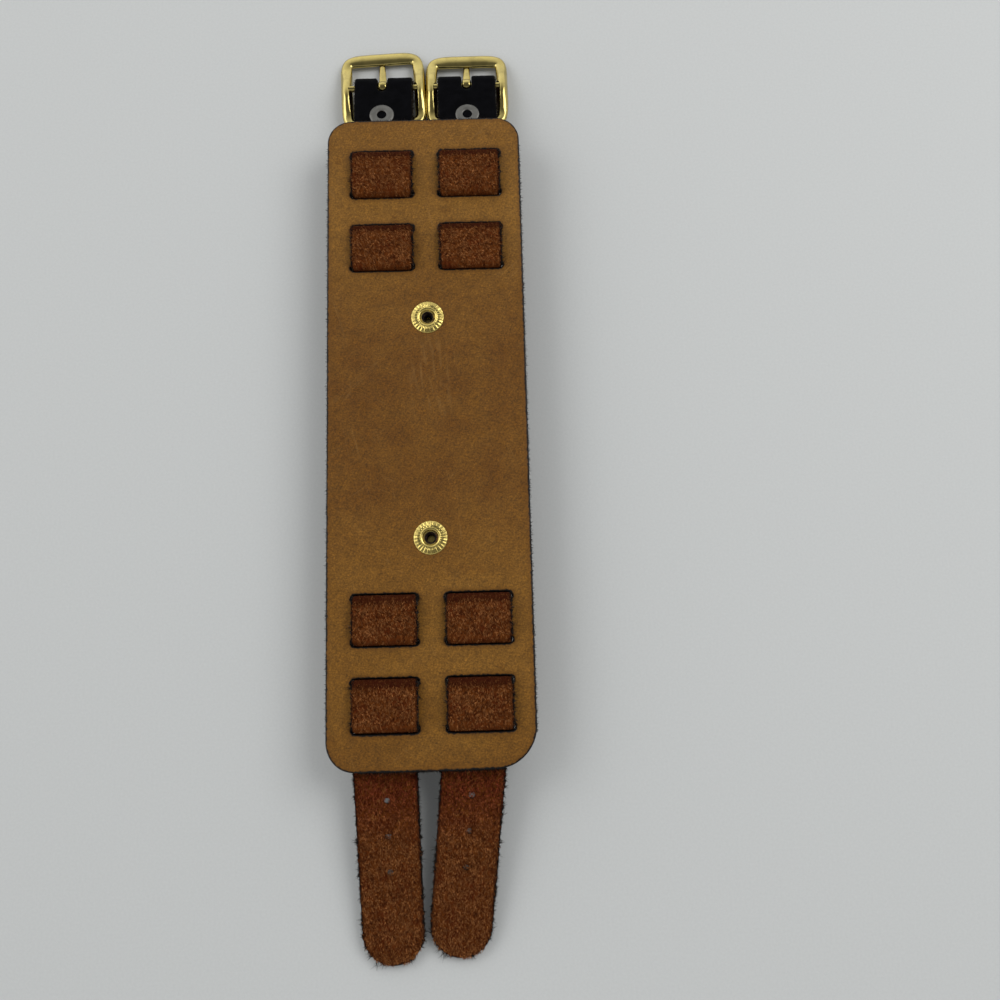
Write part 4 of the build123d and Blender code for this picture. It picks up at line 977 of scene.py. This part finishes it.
def makeSnapPost(name, spec):
    # A pressed flange with radial dents, a raised ridge and a funnel that leads into the tube
    centre = np.array([*np.mean(boxOf(f"{name}_snap_post"), 0)[:2], cuffHigh[2]])
    bore, flange, ridge, throat, rise = spec.bore, spec.flange, spec.ridge, spec.throat, spec.rise
    end, tube = -spec.depth, spec.bore + spec.wall

    def ripple(radius, angle):
        band = np.clip((radius - ridge) / 0.4, 0, 1) * np.clip((flange - radius) / 0.25, 0, 1)
        uneven = 0.75 + 0.3 * np.sin(3 * angle + 1) + 0.25 * np.sin(5 * angle)
        wave = np.cos(spec.crimps * angle + 1.3 * np.sin(2 * angle) + 0.8 * np.sin(3 * angle))
        return spec.crimpDepth * band * uneven * wave

    profile = softCorners([
        (bore, end), (tube, end), (tube, -0.02), (flange - 0.1, -0.02), (flange, 0.08),
        (flange - 0.25, rise * 0.5), (spec.crown, rise * 0.85), (ridge + 0.15, rise * 0.8), (ridge, rise),
        (ridge - 0.4, rise * 0.75), (throat + 0.1, -0.25), (throat - 0.15, -0.6), (bore, -1.0), (bore, end),
    ], 0.12, 0.1)
    place = lambda *local: centre + np.stack(local, -1)
    # Inside the funnel's throat the post takes the dark painted shade instead of brass
    post = turned(f"{name}SnapPost", profile, place, ["snapBrass", "throat"], 208, ripple, throat)
    ridePiece(post, "cuff", "snap_brass", f"{name}_snap_post")


for name in ("upper", "lower"):
    makeSnapPost(name, snapSpec)
print("snap posts made")

tabSpec = Spec(
    thickness=1.2, layerGap=0.05, endRound=3.2, edgeRound=0.3, spacing=0.6, holeRadius=1.65, grain=0.015,
)


def makeTab(name, spec):
    # A strip looped round the spring bar: over the top, round the bar and back under itself
    low, high = boxOf(f"{name}_watch_tab")
    barLow, barHigh = boxOf(f"{name}_spring_bar")
    end = 1 if name == "upper" else -1
    thickness = spec.thickness
    loop = (barHigh[2] - barLow[2]) / 2 + spec.layerGap + thickness / 2
    tabEnd = max(abs(low[1]), abs(high[1]))
    barY, barZ = abs(barLow[1] + barHigh[1]) / 2, (barLow[2] + barHigh[2]) / 2
    upper, under, near = high[2] - thickness / 2, barZ - loop, barY - loop
    lower = upper - thickness - spec.layerGap
    path = roundedPath([
        (tabEnd, upper), (near, upper), (near, under), (barY + loop / 2, under), (barY + 2.5 * loop, lower),
        (tabEnd, lower)], [loop, loop, thickness, thickness], 0.1)
    run, along = alongPath(path)
    halfWidth, length = (high[0] - low[0]) / 2, run[-1]
    swing = crowd(spec.endRound, 14)
    snapY = np.mean(boxOf(f"{name}_snap_cap"), 0)[1] * end
    holes = (tabEnd - snapY, length - tabEnd + snapY)
    square = spec.holeRadius * squareShare
    holeRows = (-square, 0, square)
    xLines = acrossLines(halfWidth, spec.spacing, holeRows)
    sLines = gridLines([*swing, *(length - swing)], spec.spacing, [(hole, holeRows) for hole in holes])
    x, s = np.meshgrid(xLines, sLines, indexing="ij")
    x, gap = roundCorners(x, np.minimum(s, length - s), halfWidth, spec.endRound)
    keep = np.ones(cells(x).shape, bool)
    x, s, gap = punch(x, s, keep, gap, holes, spec.holeRadius)

    def place(x, s, offset):
        y, z, ny, nz = along(s)
        return np.stack([x * end, (y + ny * offset) * end, z + nz * offset], -1)

    grain = spec.grain * smoothNoise(x, s, 1.9, 51)
    tab = slab(f"{name}WatchTab", x, s, keep, place, gap, thickness, spec.edgeRound,
               ["tan", "tan", "edge"], (grain, grain))
    ridePiece(tab, f"{name}_tab", "tab_leather", f"{name}_watch_tab")


for name in ("upper", "lower"):
    makeTab(name, tabSpec)
print("tabs made")

dialSpec = Spec(
    paint=(0.66, 0.62, 0.52), centre=(0.72, 0.68, 0.58), ink=(0.02, 0.018, 0.016), marker=(0.55, 0.42, 0.2),
    trackInner=12.75, trackOuter=13.35, markerFront=2.31, minutes=60,
)


def dialPaint(name, spec):
    # Cream paint, paler in the middle, a printed minute track worked out from radius and angle, and
    # gilt markers wherever the surface stands in front of the dial's plane
    material, tree = newMaterial(name, spec.paint, 0.45)
    axes = splitAxes(tree, objectPlace(tree))
    squares = [maths(tree, "POWER", axes[axis], 2.0) for axis in "XY"]
    radius = maths(tree, "SQRT", maths(tree, "ADD", *squares))
    angle = maths(tree, "ARCTAN2", axes["Y"], axes["X"])
    turns = maths(tree, "MULTIPLY", angle, spec.minutes / (2 * math.pi))
    beside = maths(tree, "SUBTRACT", maths(tree, "FRACT", maths(tree, "ADD", turns, 0.5)), 0.5)
    line = spread(tree, maths(tree, "ABSOLUTE", beside), 0.06, 0.09, 1, 0)
    inner, outer = spec.trackInner * 0.001, spec.trackOuter * 0.001
    inside = spread(tree, radius, inner, inner + 0.00003, 0, 1)
    outside = spread(tree, radius, outer, outer + 0.00003, 1, 0)
    ring = maths(tree, "ABSOLUTE", maths(tree, "SUBTRACT", radius, inner))
    ring = spread(tree, ring, 0.00003, 0.00006, 1, 0)
    track = maths(tree, "MULTIPLY", maths(tree, "MULTIPLY", inside, outside), line)
    ink = maths(tree, "MAXIMUM", ring, track)
    paint = mix(tree, spread(tree, radius, 0.0, 0.0125, 0, 1), spec.centre, spec.paint)
    paint = mix(tree, 1.0, paint, mottle(tree, 2600, 0.95, 1.05, 3, 0.6), "MULTIPLY")
    paint = mix(tree, ink, paint, spec.ink)
    marker = maths(tree, "LESS_THAN", axes["Z"], spec.markerFront * 0.001)
    return finished(material, colour=mix(tree, marker, paint, spec.marker), metallic=marker,
                    roughness=spread(tree, marker, 0, 1, 0.5, 0.2))


def glass(name):
    # Clear crystal with faint rubbed marks
    material, tree = newMaterial(name, (0.97, 0.98, 0.98), 0.02, **{"Transmission Weight": 1.0, "IOR": 1.5})
    rubbed = ramp(tree, noise(tree, 700, 4, 0.6, (6, 0.6), 0.5), [(0.55, 0.015), (0.75, 0.09)])
    return finished(material, roughness=rubbed)


def rubber(name):
    material, tree = newMaterial(name, (0.012, 0.012, 0.013), 0.6, specular=0.3)
    pitted = bump(tree, noise(tree, 3000, 2), 0.3, 0.02)
    return finished(material, roughness=mottle(tree, 1500, 0.5, 0.75), normal=pitted)


finishes.update({
    "dial": dialPaint("dialPaint", dialSpec),
    "glass": glass("crystalGlass"),
    "rubber": rubber("gasketRubber"),
    "handSteel": metal("handSteel", (0.045, 0.06, 0.16), 0.22, (8, 1), tarnish=0.8),
})
nodeFinishes = {
    "steel": ["watch_case", "bezel", "case_back", "crown"],
    "pinSteel": ["upper_spring_bar", "lower_spring_bar", "winding_stem"],
    "snapBrass": [f"{end}_snap_{part}" for part in ("stud", "socket", "cap") for end in ("upper", "lower")],
    "plate": ["main_plate", "train_bridge", "balance_cock", "centre_arbor"],
    "wheelBrass": ["hour_wheel", "minute_wheel", "mainspring_barrel", "balance_wheel"],
    "rubber": ["crystal_gasket", "case_back_gasket"],
    "handSteel": ["hour_hand", "minute_hand"],
    "glass": ["crystal"],
    "dial": ["dial"],
}
for finish, names in nodeFinishes.items():
    for name in names:
        nodes[name].data.materials.clear()
        nodes[name].data.materials.append(finishes[finish])
print("watch finished")

stageSpec = Spec(
    floor=(0.6, 0.61, 0.6), tint=(0.97, 0.985, 1.0), brighter=(-0.35, 0.3, 0),
    levels=[(0.0, 0.9), (0.4, 0.9), (0.6, 0.8), (0.75, 0.5), (0.88, 0.18), (1.0, 0.14)],
    lamps=Spec(
        right=Spec(place=(0.6, 0.3, 0.72), size=0.6, power=3.7),
        left=Spec(place=(-0.65, 0.3, 0.65), size=0.5, power=1.7),
    ),
)


def makeStage(spec):
    # A pale floor and a studio whose walls are bright and whose ceiling is dim, with soft lamps
    bpy.ops.mesh.primitive_plane_add(size=6)
    floor = bpy.context.object
    floor.name = "paleFloor"
    material, tree = newMaterial("paleFloor", spec.floor, 0.7, specular=0.2)
    grain = mix(tree, 1.0, spec.floor, mottle(tree, 1600, 0.975, 1.025, 3, 0.6), "MULTIPLY")
    floor.data.materials.append(finished(material, colour=grain))
    world = bpy.data.worlds.new("studio")
    bpy.context.scene.world = world
    world.use_nodes = True
    tree = world.node_tree
    light = tree.nodes["Background"]
    direction = addNode(tree, "ShaderNodeTexCoord", {}).outputs["Generated"]
    height = splitAxes(tree, direction)["Z"]
    aside = vectorMaths(tree, "DOT_PRODUCT", direction, spec.brighter)["Value"]
    level = maths(tree, "MULTIPLY", ramp(tree, height, spec.levels), maths(tree, "ADD", aside, 1.0))
    tree.links.new(mix(tree, 1.0, level, spec.tint, "MULTIPLY"), light.inputs["Color"])
    for name, lampSpec in spec.lamps.items():
        lamp = bpy.data.lights.new(name, "AREA")
        lamp.size = lampSpec.size
        lamp.energy = lampSpec.power
        holder = bpy.data.objects.new(name, lamp)
        bpy.context.collection.objects.link(holder)
        x, y, z = holder.location = lampSpec.place
        holder.rotation_euler = (math.atan2(math.hypot(x, y), z), 0, math.atan2(x, -y))
    bpy.context.scene.view_settings.view_transform = "Standard"


cameraSpec = Spec(place=(17.4, -64.4, 263.0), tilt=10.12, roll=-1.5, focalPixels=1025, pixels=1000)


def makeCamera(spec):
    camera = bpy.data.cameras.new("photoCamera")
    camera.sensor_width = 36
    camera.lens = 36 * spec.focalPixels / spec.pixels
    camera.clip_start = 0.01
    holder = bpy.data.objects.new("photoCamera", camera)
    bpy.context.collection.objects.link(holder)
    holder.location = np.array(spec.place) * 0.001
    turn = Matrix.Rotation(math.radians(spec.tilt), 3, "X") @ Matrix.Rotation(math.radians(spec.roll), 3, "Z")
    holder.rotation_euler = turn.to_euler()
    bpy.context.scene.camera = holder


makeStage(stageSpec)
makeCamera(cameraSpec)
print("stage and camera made")
